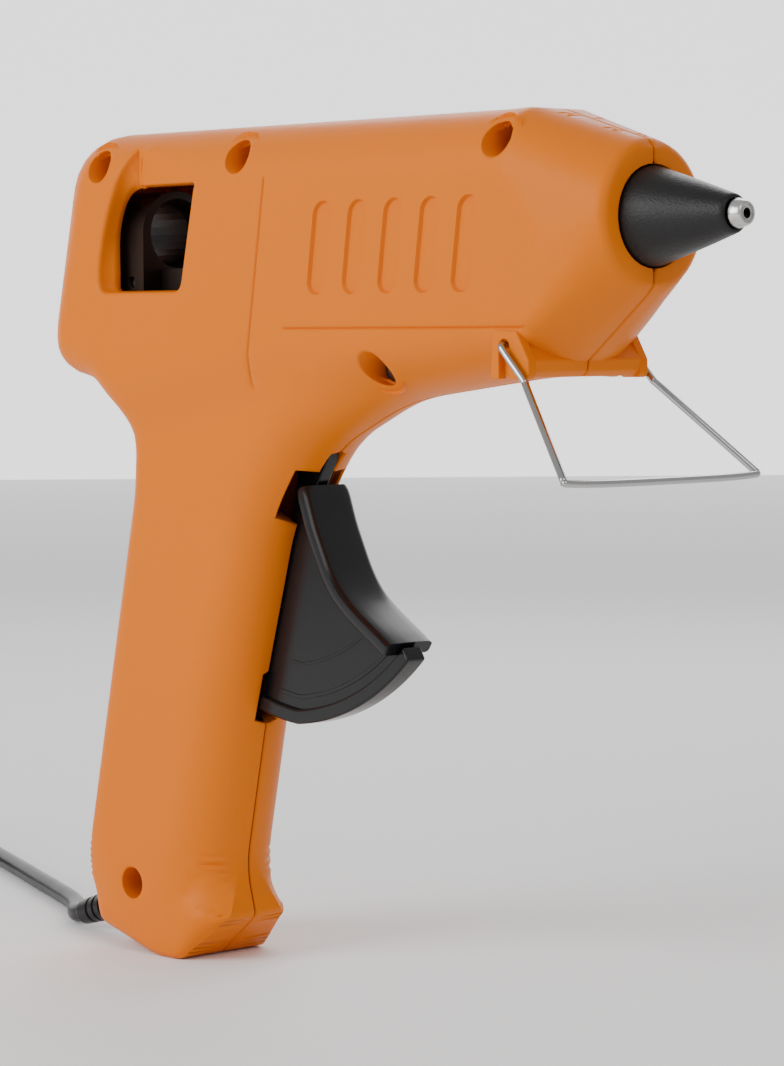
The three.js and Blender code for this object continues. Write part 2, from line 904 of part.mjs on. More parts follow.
function triggerRim() {
  const lower = [];
  const upper = [];
  for (let degrees = -17; degrees <= 33; degrees += 5) {
    const shrink = Math.max(0, degrees - rimLiftFrom) * rimLift;
    lower.push(polar(rimRadius - shrink, degrees));
    upper.push(polar(rimRadius - shrink - rimHeight, degrees));
  }
  return slab(outline([...lower, ...upper.reverse()]), -rimWidth / 2, rimWidth / 2);
}

function drivePinPlace() {
  return polar(-armLength, armAngle);
}

function triggerArm() {
  const [x, z] = drivePinPlace();
  const along = new THREE.Vector2(x - pivotX, z - pivotZ).normalize();
  const across = new THREE.Vector2(-along.y, along.x).multiplyScalar(armWidth / 2);
  const shape = outline([
    [pivotX + across.x, pivotZ + across.y],
    [pivotX - across.x, pivotZ - across.y],
    [x - 0.8 * across.x, z - 0.8 * across.y],
    [x + 0.8 * across.x, z + 0.8 * across.y],
  ]);
  const half = bladeThickness / 2;
  return slab(shape, -half, half).add(rodY(0.4 * armWidth, x, z, -half, half, 16));
}

function trigger() {
  const [pinX, pinZ] = drivePinPlace();
  const half = bladeThickness / 2;
  const body = joined([
    fingerPlate(),
    triggerBlade(),
    triggerRim(),
    triggerArm(),
    rodY(hubRadius, pivotX, pivotZ, -half, half),
  ]);
  return body
    .subtract(rodY(triggerPinRadius + touchGap, pivotX, pivotZ, -9, 9, 16))
    .subtract(rodY(drivePinRadius + touchGap, pinX, pinZ, -9, 9, 16));
}

function triggerPin() {
  return rodY(triggerPinRadius, pivotX, pivotZ, 3 - gripHalfWidth, gripHalfWidth - 3, 16);
}

function pivotBossBore() {
  const reach = gripHalfWidth - 3 + touchGap;
  return rodY(triggerPinRadius + touchGap, pivotX, pivotZ, -reach, reach, 16);
}

function drivePin() {
  const [x, z] = drivePinPlace();
  return rodY(drivePinRadius, x, z, -carriageHalfWidth / 2, carriageHalfWidth / 2, 16);
}

// The carriage is an arched block round the stick, with a fork in front for the drive pin.
function carriage() {
  const arch = new THREE.Shape();
  const half = carriageHalfWidth;
  arch.moveTo(-half, carriageFloorZ);
  arch.lineTo(half, carriageFloorZ);
  arch.lineTo(half, axisZ);
  arch.absellipse(0, axisZ, half, carriageArch, 0, Math.PI, false, 0);
  arch.lineTo(-half, carriageFloorZ);
  const block = profileX(arch, carriageRearX, carriageFrontX, 12);
  const bore = turned(
    [
      [carriageRearX - 1, 0],
      [carriageRearX - 1, carriageBore],
      [carriageFrontX - 4, carriageBore],
      [carriageFrontX + 0.5, carriageMouth],
      [carriageFrontX + 0.5, 0],
    ],
    axisZ,
  );
  const pawlSlot = box([pawlPinX - 9, pawlPinX + 2.6], [-1.7, 1.7], [
    carriageFloorZ - 1,
    axisZ - 3,
  ]);
  const pawlBore = rodY(pawlPinRadius + touchGap, pawlPinX, pawlPinZ, -20, 20, 12);
  return block.subtract(bore).subtract(pawlSlot).subtract(pawlBore).add(carriageFork());
}

function carriageFork() {
  const [pinX, pinZ] = drivePinPlace();
  const near = bladeThickness / 2 + slideGap + 0.2;
  const play = drivePinRadius + 0.7;
  const top = axisZ - carriageBore - 1.3;
  const shape = outline([
    [carriageFrontX - 2, top],
    [carriageFrontX - 2, carriageFloorZ],
    [pinX - play - 3, carriageFloorZ],
    [pinX - play - 3, pinZ - play - 2],
    [pinX + play + 3, pinZ - play - 2],
    [pinX + play + 3, top],
  ]);
  const slot = slab(
    outline([
      [pinX - play, pinZ - play],
      [pinX + play, pinZ - play],
      [pinX + play, top - 1.6],
      [pinX - play, top - 1.6],
    ]),
    -20,
    20,
  );
  const cheeks = [-1, 1].map((side) => slab(shape, ...sideRange(side, near, near + cheekThickness)));
  const lug = box([springFrontX - 0.6, springFrontX + 1], [near + 1, springY + 2], [
    springZ - 1.6,
    springZ + 1.6,
  ]);
  return joined(cheeks).subtract(slot).add(lug.translate([1.6, 0, 0]));
}

const pawlPinX = carriageFrontX - 4;
const pawlPinZ = carriageFloorZ + 3.6;

function stickPawl() {
  const shape = outline([
    [pawlPinX - 2.2, pawlPinZ - 1.8],
    [pawlPinX + 2.1, pawlPinZ - 1.8],
    [pawlPinX + 2.1, pawlPinZ + 2],
    [pawlPinX - 5, pawlPinZ + 4.4],
    [pawlPinX - 6.2, pawlPinZ + 5.8],
    [pawlPinX - 6.8, pawlPinZ + 2.6],
  ]);
  const bore = rodY(pawlPinRadius + touchGap, pawlPinX, pawlPinZ, -9, 9, 12);
  return slab(shape, -1.3, 1.3).subtract(bore);
}

function pawlPin() {
  return rodY(pawlPinRadius, pawlPinX, pawlPinZ, -carriageHalfWidth + 1, carriageHalfWidth - 1, 12);
}

function returnSpring() {
  return tube(
    helix(springRearX - 1.2, springFrontX + 0.6, springY, springZ, springRadius, 9),
    0.35,
    63,
    4,
  );
}

// ---------------------------------------------------------------- stand, lamp, cord

function wireStand() {
  const y0 = barrelHalfWidth + 0.5 + touchGap + wireRadius;
  const pivot = [standPivotX, standPivotZ];
  const bend = [standPivotX + 7.5, standPivotZ - 7.8];
  const corner = [standPivotX + standForward, standPivotZ - standDrop];
  const half = [
    [pivot[0], innerHalfWidth - 0.5, pivot[1]],
    [pivot[0], y0 - 1.6, pivot[1]],
    [pivot[0] + 0.3, y0 - 0.2, pivot[1] - 0.3],
    [pivot[0] + 1.5, y0, pivot[1] - 1.6],
    [bend[0] - 0.8, y0, bend[1] + 0.8],
    [bend[0] + 0.9, y0 + 0.8, bend[1] - 0.9],
    [corner[0] - 1.6, standHalfWidth - 1.2, corner[1] + 1.6],
    [corner[0] - 0.4, standHalfWidth - 0.7, corner[1] + 0.4],
    [corner[0], standHalfWidth - 2, corner[1]],
    [corner[0] + 0.3, standHalfWidth / 2, corner[1] - 0.3],
  ];
  const other = half.map(([x, y, z]) => [x, -y, z]).reverse();
  return tube([...half, ...other], wireRadius, 72, 6, 0.3);
}

function indicatorLens() {
  return lensOval(0, lensRearX, lensRearX + lensDepth);
}

function indicatorLamp() {
  const start = lensRearX + lensDepth + touchGap;
  const bulb = rodX(1.8, start, start + 6, 0, lensZ, 16);
  return bulb.add(rodX(0.4, start + 5.5, start + 9, 0, lensZ, 8));
}

function strainRelief() {
  const length = bootEnd.distanceTo(bootStart);
  const bore = cordRadius + touchGap;
  return alongBoot([
    [0, bore],
    [0, bootFlange],
    [bootFlangeLength, bootFlange],
    [bootFlangeLength, bootRadius],
    [9, bootRadius],
    [length - 0.6, bootEndRadius],
    [length, bootEndRadius - 0.2],
    [length, bore],
    [0, bore],
  ]);
}

function cordClamp() {
  const bar = box([clampX - 1.5, clampX + 1.5], [-clampNearY - 2.4, -clampNearY], [
    8.4,
    clampScrewZ + 3,
  ]);
  return bar.subtract(rodY(1.1 + screwGap, clampX, clampScrewZ, -clampNearY - 5, 0, 12));
}

function clampScrew() {
  const seat = clampNearY + 2.4 + touchGap;
  const head = rodY(2, clampX, clampScrewZ, -seat - 1.4, -seat, 16);
  return head.add(rodY(1.1, clampX, clampScrewZ, -seat - 0.5, 6, 10));
}

// A lead runs up the rear of the grip, forward along the side wall and up to its contact tab.
function lead(side, level) {
  const { rearX: heaterX } = heaterPocket();
  const sideY = innerHalfWidth - 1.6;
  const run = gripHeight + 7;
  return tube(
    [
      [-77.1, side * 1.2, 10.5],
      [-75.9, side * 1.4, 9.4],
      [-74.4, side * 1.7, 7.7],
      [-70, side * 2.4, 6.9],
      [-65.6, side * 3.2, 9.6],
      [-64.6, side * 4, 17],
      [-68.4, side * 5.4, 42],
      [-67.6, side * 6.6, gripHeight - 45],
      [-65.4, side * 7.2, gripHeight - 20],
      [-62, side * 8, gripHeight - 2],
      [-58, side * 9.2, gripHeight + 4],
      [-51, side * (sideY - 0.8), run],
      [-24, side * sideY, run],
      [heaterX - 18, side * sideY, run],
      [heaterX - 10, side * (sideY - 3), run + 1.6],
      [heaterX - 6.6, side * 3.6, level + contactThickness / 2],
      [heaterX - 5.4, side * 3.2, level + contactThickness / 2],
    ],
    0.9,
    40,
    6,
  );
}

// The cord from the clamp, through the boot and along the surface to where its coil starts.
const cordRoute = [
  [-78.2, 0, 11.06],
  [-86, 0, 8.82],
  [-94, 0, 6.53],
  [-101, 0, 4.52],
  [-105.8, 0, 3.2],
  [-110, 1.2, 2.5],
  [-115, 5, 2.3],
  [-121, 9.2, 2.3],
  [-136, 16.4, 2.3],
  [-153, 23.6, 2.3],
  [-172, 31.8, 2.3],
  [-190, 39.4, 2.3],
  [-203, 44.9, 2.3],
  [-216, 50.2, 2.3],
  [-225, 53.1, 2.3],
  [-231.3, 54.8, 2.3],
];

function mainsCord() {
  return tube(cordRoute, cordRadius, 40, 8);
}

function cordCoil() {
  const points = [
    [coilMeanRadius - coilHalfWidth, 1.5],
    [coilMeanRadius - coilHalfWidth + 1.4, 0.1],
    [coilMeanRadius + coilHalfWidth - 1.4, 0.1],
    [coilMeanRadius + coilHalfWidth, 1.5],
    [coilMeanRadius + coilHalfWidth, coilHeight - 1.4],
    [coilMeanRadius + coilHalfWidth - 1.4, coilHeight],
    [coilMeanRadius - coilHalfWidth + 1.4, coilHeight],
    [coilMeanRadius - coilHalfWidth, coilHeight - 1.4],
    [coilMeanRadius - coilHalfWidth, 1.5],
  ].map(([radius, z]) => new THREE.Vector2(radius, z));
  const geometry = new THREE.LatheGeometry(points, 32);
  geometry.rotateX(Math.PI / 2).translate(coilX, coilY, 0);
  return toSolid(geometry);
}

const plugX = coilX - coilMeanRadius - coilHalfWidth + cordRadius;
const plugStartY = coilY - 18.8;
const plugLength = 34;
const plugZ = 6.6;

// The plug lies flat, its cord entry towards the coil and its pins towards -Y.
function plugBody() {
  const front = plugStartY - plugLength;
  const points = [];
  const addFrame = (y, halfX, halfZ, bevel) => {
    for (const [sx, sz] of [[1, 1], [-1, 1], [-1, -1], [1, -1]]) {
      points.push(new THREE.Vector3(plugX + sx * halfX, y, plugZ + sz * (halfZ - bevel)));
      points.push(new THREE.Vector3(plugX + sx * (halfX - bevel), y, plugZ + sz * halfZ));
    }
  };
  addFrame(plugStartY, 3.2, 3.2, 1);
  addFrame(plugStartY - 12, 6.5, 5.4, 1.6);
  addFrame(front, 13, 6.4, 2.4);
  return toSolid(new ConvexGeometry(points));
}

function plugPin(side) {
  const front = plugStartY - plugLength - touchGap;
  const geometry = new THREE.CapsuleGeometry(2, 15, 4, 12);
  geometry.translate(plugX + side * 9.5, front - 9.5, plugZ);
  return toSolid(geometry);
}

// ---------------------------------------------------------------- assembly

const colour = {
  orangePlastic: { color: 0xe8731a, roughness: 0.42, metalness: 0 },
  blackPlastic: { color: 0x17171a, roughness: 0.25, metalness: 0 },
  blackRubber: { color: 0x1b1b1c, roughness: 0.7, metalness: 0 },
  nozzleMetal: { color: 0xc9c6bf, roughness: 0.3, metalness: 1 },
  castMetal: { color: 0xb5b7ba, roughness: 0.5, metalness: 1 },
  steel: { color: 0xc8ccd0, roughness: 0.25, metalness: 1 },
  brass: { color: 0xc79a4b, roughness: 0.35, metalness: 1 },
  silicone: { color: 0xb0452e, roughness: 0.6, metalness: 0 },
  ceramic: { color: 0x8a8d90, roughness: 0.7, metalness: 0 },
  film: { color: 0xb9802c, roughness: 0.4, metalness: 0 },
  lens: { color: 0x3a0d08, roughness: 0.15, metalness: 0 },
  glass: { color: 0xe0a080, roughness: 0.1, metalness: 0 },
  leadBrown: { color: 0x6b3a1e, roughness: 0.5, metalness: 0 },
  leadBlue: { color: 0x2f5fa8, roughness: 0.5, metalness: 0 },
};

const cordPieces = [
  "strain_relief",
  "mains_cord",
  "cord_coil",
  "plug_body",
  "plug_pin_1",
  "plug_pin_2",
];

const gun = new THREE.Group();

function place(name, solid, look) {
  gun.add(toMesh(name, solid, new THREE.MeshStandardMaterial(look)));
}

const levels = heaterLevels();
place("right_shell", housingHalf(-1).subtract(pivotBossBore()), colour.orangePlastic);
place("left_shell", housingHalf(1).subtract(pivotBossBore()), colour.orangePlastic);
screwPlaces.forEach((screw, i) => place(`housing_screw_${i + 1}`, housingScrew(screw), colour.steel));
place("nozzle_cover", nozzleCover(), colour.blackRubber);
place("nozzle", nozzle(), colour.nozzleMetal);
place("valve_ball", valveBall(), colour.steel);
place("valve_spring", valveSpring(), colour.steel);
place("melt_chamber", meltChamber(), colour.castMetal);
place("heater_wrap", heaterWrap(), colour.film);
place("ptc_heater", ptcHeater(), colour.ceramic);
place("contact_plate_lower", contactPlate(levels.lower, -1), colour.brass);
place("contact_plate_upper", contactPlate(levels.upper, 1), colour.brass);
place("feed_sleeve", feedSleeve(), colour.silicone);
place("sleeve_clamp", sleeveClamp(), colour.steel);
place("trigger", trigger(), colour.blackPlastic);
place("trigger_pin", triggerPin(), colour.steel);
place("drive_pin", drivePin(), colour.steel);
place("carriage", carriage(), colour.blackPlastic);
place("stick_pawl", stickPawl(), colour.steel);
place("pawl_pin", pawlPin(), colour.steel);
place("return_spring", returnSpring(), colour.steel);
place("wire_stand", wireStand(), colour.steel);
place("indicator_lens", indicatorLens(), colour.lens);
place("indicator_lamp", indicatorLamp(), colour.glass);
place("strain_relief", strainRelief(), colour.blackRubber);
place("cord_clamp", cordClamp(), colour.blackPlastic);
place("clamp_screw", clampScrew(), colour.steel);
place("lead_live", lead(-1, levels.lower), colour.leadBrown);
place("lead_neutral", lead(1, levels.upper), colour.leadBlue);
place("mains_cord", mainsCord(), colour.blackRubber);
place("cord_coil", cordCoil(), colour.blackRubber);
place("plug_body", plugBody(), colour.blackRubber);
place("plug_pin_1", plugPin(-1), colour.nozzleMetal);
place("plug_pin_2", plugPin(1), colour.nozzleMetal);

// The origin is under the middle of the gun, on the surface that it stands on.
const span = new THREE.Box3();
gun.children
  .filter((piece) => !cordPieces.includes(piece.name))
  .forEach((piece) => span.expandByObject(piece));
gun.position.x = -(span.min.x + span.max.x) / 2;

export default gun;
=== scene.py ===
"""The looks of a mains-powered glue gun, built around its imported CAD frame."""
import math

import bmesh
import bpy
import numpy as np
from mathutils import Matrix, Vector
from mathutils.bvhtree import BVHTree
from mathutils.geometry import delaunay_2d_cdt


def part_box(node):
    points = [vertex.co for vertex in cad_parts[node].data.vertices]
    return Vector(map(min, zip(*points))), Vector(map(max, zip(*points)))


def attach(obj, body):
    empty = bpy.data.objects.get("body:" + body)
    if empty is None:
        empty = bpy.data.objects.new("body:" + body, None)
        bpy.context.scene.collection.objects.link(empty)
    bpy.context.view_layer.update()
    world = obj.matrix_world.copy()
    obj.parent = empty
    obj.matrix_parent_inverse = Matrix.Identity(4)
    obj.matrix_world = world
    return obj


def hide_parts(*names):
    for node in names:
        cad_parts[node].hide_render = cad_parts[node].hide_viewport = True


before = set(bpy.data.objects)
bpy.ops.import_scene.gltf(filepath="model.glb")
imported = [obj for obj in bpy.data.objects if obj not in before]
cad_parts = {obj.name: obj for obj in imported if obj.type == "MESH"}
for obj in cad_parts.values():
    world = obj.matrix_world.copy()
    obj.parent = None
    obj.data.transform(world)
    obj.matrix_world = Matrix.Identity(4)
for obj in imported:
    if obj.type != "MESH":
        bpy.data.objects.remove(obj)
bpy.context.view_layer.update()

MM = 0.001

# ------------------------------------------------------------ places, in gun millimetres
# Gun millimetres are the design's own numbers: the frame moved along X so that
# the trigger's pivot is at PIVOT_X.

PIVOT_X = -24.0
BARREL_TOP = 179.2
UNDERSIDE = 127.0
AXIS_Z = 157.5
BARREL_HALF = 16.4
GRIP_HALF = 13.0
NOSE_X = 71.5
NOSE_START = 47.0
PIVOT_Z = 113.0
LEAN = 0.14


def node_centre(node):
    low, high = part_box(node)
    return (Vector(low) + Vector(high)) / 2


SHIFT = node_centre("trigger_pin").x / MM - PIVOT_X


def at(x, y, z):
    """A point in the frame's metres from gun millimetres."""
    return Vector(((x + SHIFT) * MM, y * MM, z * MM))


# ------------------------------------------------------------ camera, floor and light

CAMERA_AZIMUTH = 0.817157
CAMERA_PITCH = 0.060004
CAMERA_ROLL = -0.006217
CAMERA_PLACE = at(521.9, -491.6, 137.5)
CAMERA_LENS = 160.26


def make_camera():
    sin_a, cos_a = math.sin(CAMERA_AZIMUTH), math.cos(CAMERA_AZIMUTH)
    sin_p, cos_p = math.sin(CAMERA_PITCH), math.cos(CAMERA_PITCH)
    level = Vector((-sin_a, cos_a, 0))
    forward = level * cos_p - Vector((0, 0, sin_p))
    up = Vector((0, 0, cos_p)) + level * sin_p
    right = Vector((cos_a, sin_a, 0))
    turn = Matrix.Rotation(-CAMERA_ROLL, 3, forward)
    right, up = turn @ right, turn @ up
    basis = Matrix((right, up, -forward)).transposed().to_4x4()
    data = bpy.data.cameras.new("camera")
    data.sensor_fit = "HORIZONTAL"
    data.sensor_width = 36
    data.lens = CAMERA_LENS
    data.clip_start = 0.05
    camera = bpy.data.objects.new("camera", data)
    camera.matrix_world = Matrix.Translation(CAMERA_PLACE) @ basis
    bpy.context.collection.objects.link(camera)
    bpy.context.scene.camera = camera


def make_light(name, place, target, size, power):
    data = bpy.data.lights.new(name, "AREA")
    data.shape = "RECTANGLE"
    data.size, data.size_y = size
    data.energy = power
    light = bpy.data.objects.new(name, data)
    light.location = place
    light.rotation_euler = (Vector(target) - Vector(place)).to_track_quat("-Z", "Y").to_euler()
    bpy.context.collection.objects.link(light)


def make_studio():
    world = bpy.data.worlds.new("studio")
    world.use_nodes = True
    background = world.node_tree.nodes["Background"]
    background.inputs["Color"].default_value = (1, 1, 1, 1)
    background.inputs["Strength"].default_value = 0.55
    bpy.context.scene.world = world
    bpy.ops.mesh.primitive_plane_add(size=6, location=(0, 0, -0.0002))
    floor = bpy.context.object
    floor.name = "floor"
    paper = bpy.data.materials.new("pale_paper")
    paper.use_nodes = True
    shader = paper.node_tree.nodes["Principled BSDF"]
    shader.inputs["Base Color"].default_value = (0.92, 0.92, 0.92, 1)
    shader.inputs["Roughness"].default_value = 0.9
    floor.data.materials.append(paper)
    bpy.ops.mesh.primitive_plane_add(size=1, location=(-1.75, 1.65, 1.2),
                                     rotation=(math.pi / 2, 0, CAMERA_AZIMUTH))
    backdrop = bpy.context.object
    backdrop.name = "backdrop"
    backdrop.scale = (5, 2.8, 1)
    glow = bpy.data.materials.new("white_backdrop")
    glow.use_nodes = True
    shader = glow.node_tree.nodes["Principled BSDF"]
    shader.inputs["Base Color"].default_value = (0.9, 0.9, 0.9, 1)
    shader.inputs["Emission Color"].default_value = (1, 1, 1, 1)
    shader.inputs["Emission Strength"].default_value = 1.2
    backdrop.data.materials.append(glow)
    middle = (0, 0, 0.1)
    make_light("key", (-0.25, -0.8, 0.45), middle, (0.6, 0.6), 6.5)
    make_light("nose_fill", (0.75, -0.25, 0.7), middle, (0.4, 0.4), 1.6)
    make_light("back_rim", (-0.45, 0.6, 0.6), middle, (0.6, 0.4), 2)


make_camera()
make_studio()

# ------------------------------------------------------------ materials


COAT_ROUGHNESS = 0.1
GRAIN_DEPTH = 0.0002


def material(name, base, roughness, metallic=0.0, specular=0.5, coat=0.0, tint=0.03,
             tint_scale=60.0, grain=0.0, grain_scale=900.0, rough_spread=0.06):
    """A moulded or metal surface: base colour with soft mottling, uneven gloss and fine grain."""
    made = bpy.data.materials.new(name)
    made.use_nodes = True
    nodes, links = made.node_tree.nodes, made.node_tree.links
    shader = nodes["Principled BSDF"]
    shader.inputs["Metallic"].default_value = metallic
    shader.inputs["Specular IOR Level"].default_value = specular
    shader.inputs["Coat Weight"].default_value = coat
    shader.inputs["Coat Roughness"].default_value = COAT_ROUGHNESS
    place = nodes.new("ShaderNodeTexCoord")
    mottle = nodes.new("ShaderNodeTexNoise")
    mottle.inputs["Scale"].default_value = tint_scale
    mottle.inputs["Detail"].default_value = 4
    links.new(place.outputs["Object"], mottle.inputs["Vector"])
    mix = nodes.new("ShaderNodeMix")
    mix.data_type = "RGBA"
    dark = [c * (1 - tint) for c in base]
    light = [min(1, c * (1 + tint)) for c in base]
    mix.inputs["A"].default_value = (*dark, 1)
    mix.inputs["B"].default_value = (*light, 1)
    links.new(mottle.outputs["Fac"], mix.inputs["Factor"])
    links.new(mix.outputs["Result"], shader.inputs["Base Color"])
    spread = nodes.new("ShaderNodeMapRange")
    spread.inputs["To Min"].default_value = max(0.02, roughness - rough_spread)
    spread.inputs["To Max"].default_value = min(1, roughness + rough_spread)
    links.new(mottle.outputs["Fac"], spread.inputs["Value"])
    links.new(spread.outputs["Result"], shader.inputs["Roughness"])
    if grain:
        texture = nodes.new("ShaderNodeTexNoise")
        texture.inputs["Scale"].default_value = grain_scale
        texture.inputs["Detail"].default_value = 3
        links.new(place.outputs["Object"], texture.inputs["Vector"])
        bump = nodes.new("ShaderNodeBump")
        bump.inputs["Strength"].default_value = grain
        bump.inputs["Distance"].default_value = GRAIN_DEPTH
        links.new(texture.outputs["Fac"], bump.inputs["Height"])
        links.new(bump.outputs["Normal"], shader.inputs["Normal"])
    return made


LOOKS = {
    "orange": material("orange_abs", (0.72, 0.165, 0.0005), 0.42, specular=0.12, tint=0.02,
                       tint_scale=35, grain=0.10, grain_scale=1800),
    "gloss_black": material("gloss_black_nylon", (0.007, 0.007, 0.008), 0.2, specular=0.32,
                            tint=0.15, tint_scale=90, grain=0.05, grain_scale=260),
    "satin_black": material("satin_black_grain", (0.009, 0.009, 0.009), 0.4, specular=0.3,
                            tint=0.2, tint_scale=300, grain=0.5, grain_scale=2600),
    "cord_black": material("black_pvc", (0.008, 0.008, 0.009), 0.36, specular=0.3, tint=0.2,
                           tint_scale=120, grain=0.1, grain_scale=500),
    "carriage_black": material("black_nylon", (0.014, 0.008, 0.006), 0.33, specular=0.3, tint=0.2,
                               tint_scale=100, grain=0.15, grain_scale=700),
    "turned_metal": material("turned_aluminium", (0.58, 0.57, 0.55), 0.24, metallic=1, tint=0.08,
                             tint_scale=220, grain=0.12, grain_scale=900),
    "cast_metal": material("cast_aluminium", (0.55, 0.56, 0.57), 0.45, metallic=1, tint=0.1,
                           tint_scale=150, grain=0.4, grain_scale=1200),
    "bright_wire": material("bright_nickel", (0.46, 0.46, 0.46), 0.13, metallic=1, tint=0.05,
                            tint_scale=200, grain=0.08, grain_scale=700, rough_spread=0.04),
    "steel": material("drawn_steel", (0.50, 0.51, 0.52), 0.3, metallic=1, tint=0.1,
                      tint_scale=200, grain=0.1, grain_scale=800),
    # housing screws: steel parts coloured near-black brown as painted shade, so the deep screw
    # holes read dark
    "screw_painted_shade": material("screw_steel_painted_shade", (0.05, 0.032, 0.022), 0.5, metallic=0.7, tint=0.15,
                           tint_scale=200, grain=0.15, grain_scale=800),
    "brass": material("stamped_brass", (0.62, 0.42, 0.13), 0.3, metallic=1, tint=0.1,
                      tint_scale=180, grain=0.1, grain_scale=600),
    "silicone": material("red_silicone", (0.40, 0.06, 0.03), 0.55, tint=0.08, grain=0.15),
    "ceramic": material("grey_ceramic", (0.22, 0.23, 0.24), 0.7, tint=0.1, grain=0.4),
    "film": material("amber_film", (0.46, 0.19, 0.02), 0.3, tint=0.1, grain=0.3, grain_scale=40),
    "lens": material("dark_red_lens", (0.06, 0.006, 0.004), 0.12, coat=0.5, tint=0.1),
    "lamp": material("lamp_glass", (0.7, 0.35, 0.22), 0.1, coat=0.6, tint=0.1),
    "lead_brown": material("brown_lead", (0.12, 0.04, 0.015), 0.45, tint=0.1, grain=0.1),
    "lead_blue": material("blue_lead", (0.03, 0.12, 0.36), 0.45, tint=0.1, grain=0.1),
}

NODE_LOOKS = {
    "nozzle_cover": "satin_black", "nozzle": "turned_metal", "valve_ball": "steel",
    "valve_spring": "steel", "melt_chamber": "cast_metal", "heater_wrap": "film",
    "ptc_heater": "ceramic", "contact_plate_lower": "brass", "contact_plate_upper": "brass",
    "feed_sleeve": "silicone", "sleeve_clamp": "steel", "trigger": "gloss_black",
    "trigger_pin": "steel", "drive_pin": "steel", "carriage": "carriage_black",
    "stick_pawl": "steel", "pawl_pin": "steel", "return_spring": "steel",
    "wire_stand": "bright_wire", "indicator_lens": "lens", "indicator_lamp": "lamp",
    "strain_relief": "cord_black", "cord_clamp": "satin_black", "clamp_screw": "steel",
    "lead_live": "lead_brown", "lead_neutral": "lead_blue", "mains_cord": "cord_black",
    "cord_coil": "cord_black", "plug_body": "cord_black", "plug_pin_1": "bright_wire",
    "plug_pin_2": "bright_wire", "right_shell": "orange", "left_shell": "orange",
    **{f"housing_screw_{i}": "steel" for i in range(1, 6)},
}


def dress_frame():
    for name, look in NODE_LOOKS.items():
        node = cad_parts[name]
        node.data.materials.clear()
        node.data.materials.append(LOOKS[look])


dress_frame()

# ------------------------------------------------------------ mesh helpers

SHELL_SHARP = 38


def link_shell(name, verts, faces):
    """An orange half of the housing as an object, riding on the housing."""
    mesh = bpy.data.meshes.new(name)
    mesh.from_pydata([tuple(v) for v in verts], [], [tuple(f) for f in faces])
    mesh.validate()
    mesh.materials.append(LOOKS["orange"])
    piece = bpy.data.objects.new(name, mesh)
    bpy.context.collection.objects.link(piece)
    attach(piece, "housing")
    smooth_by_angle(piece, SHELL_SHARP)
    return piece


def smooth_by_angle(piece, degrees):
    work = bmesh.new()
    work.from_mesh(piece.data)
    bmesh.ops.recalc_face_normals(work, faces=work.faces)
    limit = math.radians(degrees)
    for face in work.faces:
        face.smooth = True
    for edge in work.edges:
        edge.smooth = len(edge.link_faces) != 2 or edge.calc_face_angle(0) < limit
    work.to_mesh(piece.data)
    work.free()


def eased(corners, step=0.8, arc_points=7):
    """A closed outline through corners [x, z, ease, ...]: the corner's other values ride along."""
    count = len(corners)
    points = []
    for i, corner in enumerate(corners):
        here = np.array(corner[:2], float)
        before = np.array(corners[i - 1][:2], float)
        after = np.array(corners[(i + 1) % count][:2], float)
        ease = corner[2]
        if ease:
            start = here + (before - here) / np.linalg.norm(before - here) * ease
            end = here + (after - here) / np.linalg.norm(after - here) * ease
            for t in np.linspace(0, 1, arc_points):
                bend = (1 - t) ** 2 * start + 2 * t * (1 - t) * here + t * t * end
                points.append((*bend, *corner[3:]))
        else:
            points.append((*here, *corner[3:]))
    dense = []
    for a, b in zip(points, points[1:] + points[:1]):
        a, b = np.array(a), np.array(b)
        pieces = max(1, int(round(np.linalg.norm((b - a)[:2]) / step)))
        dense += [a + (b - a) * k / pieces for k in range(pieces)]
    return np.array(dense)


def inside(points, loop):
    """Which points lie inside a closed loop."""
    x, z = points[:, 0][:, None], points[:, 1][:, None]
    x0, z0 = loop[:, 0][None], loop[:, 1][None]
    x1, z1 = np.roll(loop[:, 0], -1)[None], np.roll(loop[:, 1], -1)[None]
    crosses = (z0 > z) != (z1 > z)
    rise = np.where(z1 == z0, 1e-9, z1 - z0)
    return (crosses & (x < (x1 - x0) * (z - z0) / rise + x0)).sum(1) % 2 == 1


def distance(points, loop, closed=True):
    """Distance from each point to a polyline, and where along it the nearest place is."""
    a = loop[:, :2] if closed else loop[:-1, :2]
    b = np.roll(loop[:, :2], -1, axis=0) if closed else loop[1:, :2]
    best = np.full(len(points), 1e9)
    where = np.zeros(len(points))
    for start in range(0, len(points), 4000):
        p = points[start:start + 4000, None, :2]
        d = (b - a)[None]
        t = ((p - a[None]) * d).sum(2) / np.maximum((d * d).sum(2), 1e-12)
        t = np.clip(t, 0, 1)
        gap = np.linalg.norm(p - a[None] - t[..., None] * d, axis=2)
        k = gap.argmin(1)
        rows = np.arange(len(k))
        best[start:start + 4000] = gap[rows, k]
        where[start:start + 4000] = k + t[rows, k]
    return best, where


def round_off(t):
    """The quarter-circle profile: 0 at an edge, 1 where the rounding ends."""
    t = np.clip(t, 0, 1)
    return np.sqrt(np.maximum(0, 1 - (1 - t) ** 2))


def smooth_step(t):
    t = np.clip(t, 0, 1)
    return t * t * (3 - 2 * t)


# ------------------------------------------------------------ housing shells
# Each half is a height field over the side view: Y as a function of X and Z, with real walls
# round the window, in the screw holes and along the parting plane.

WALL = 2.0
PARTING = 0.15

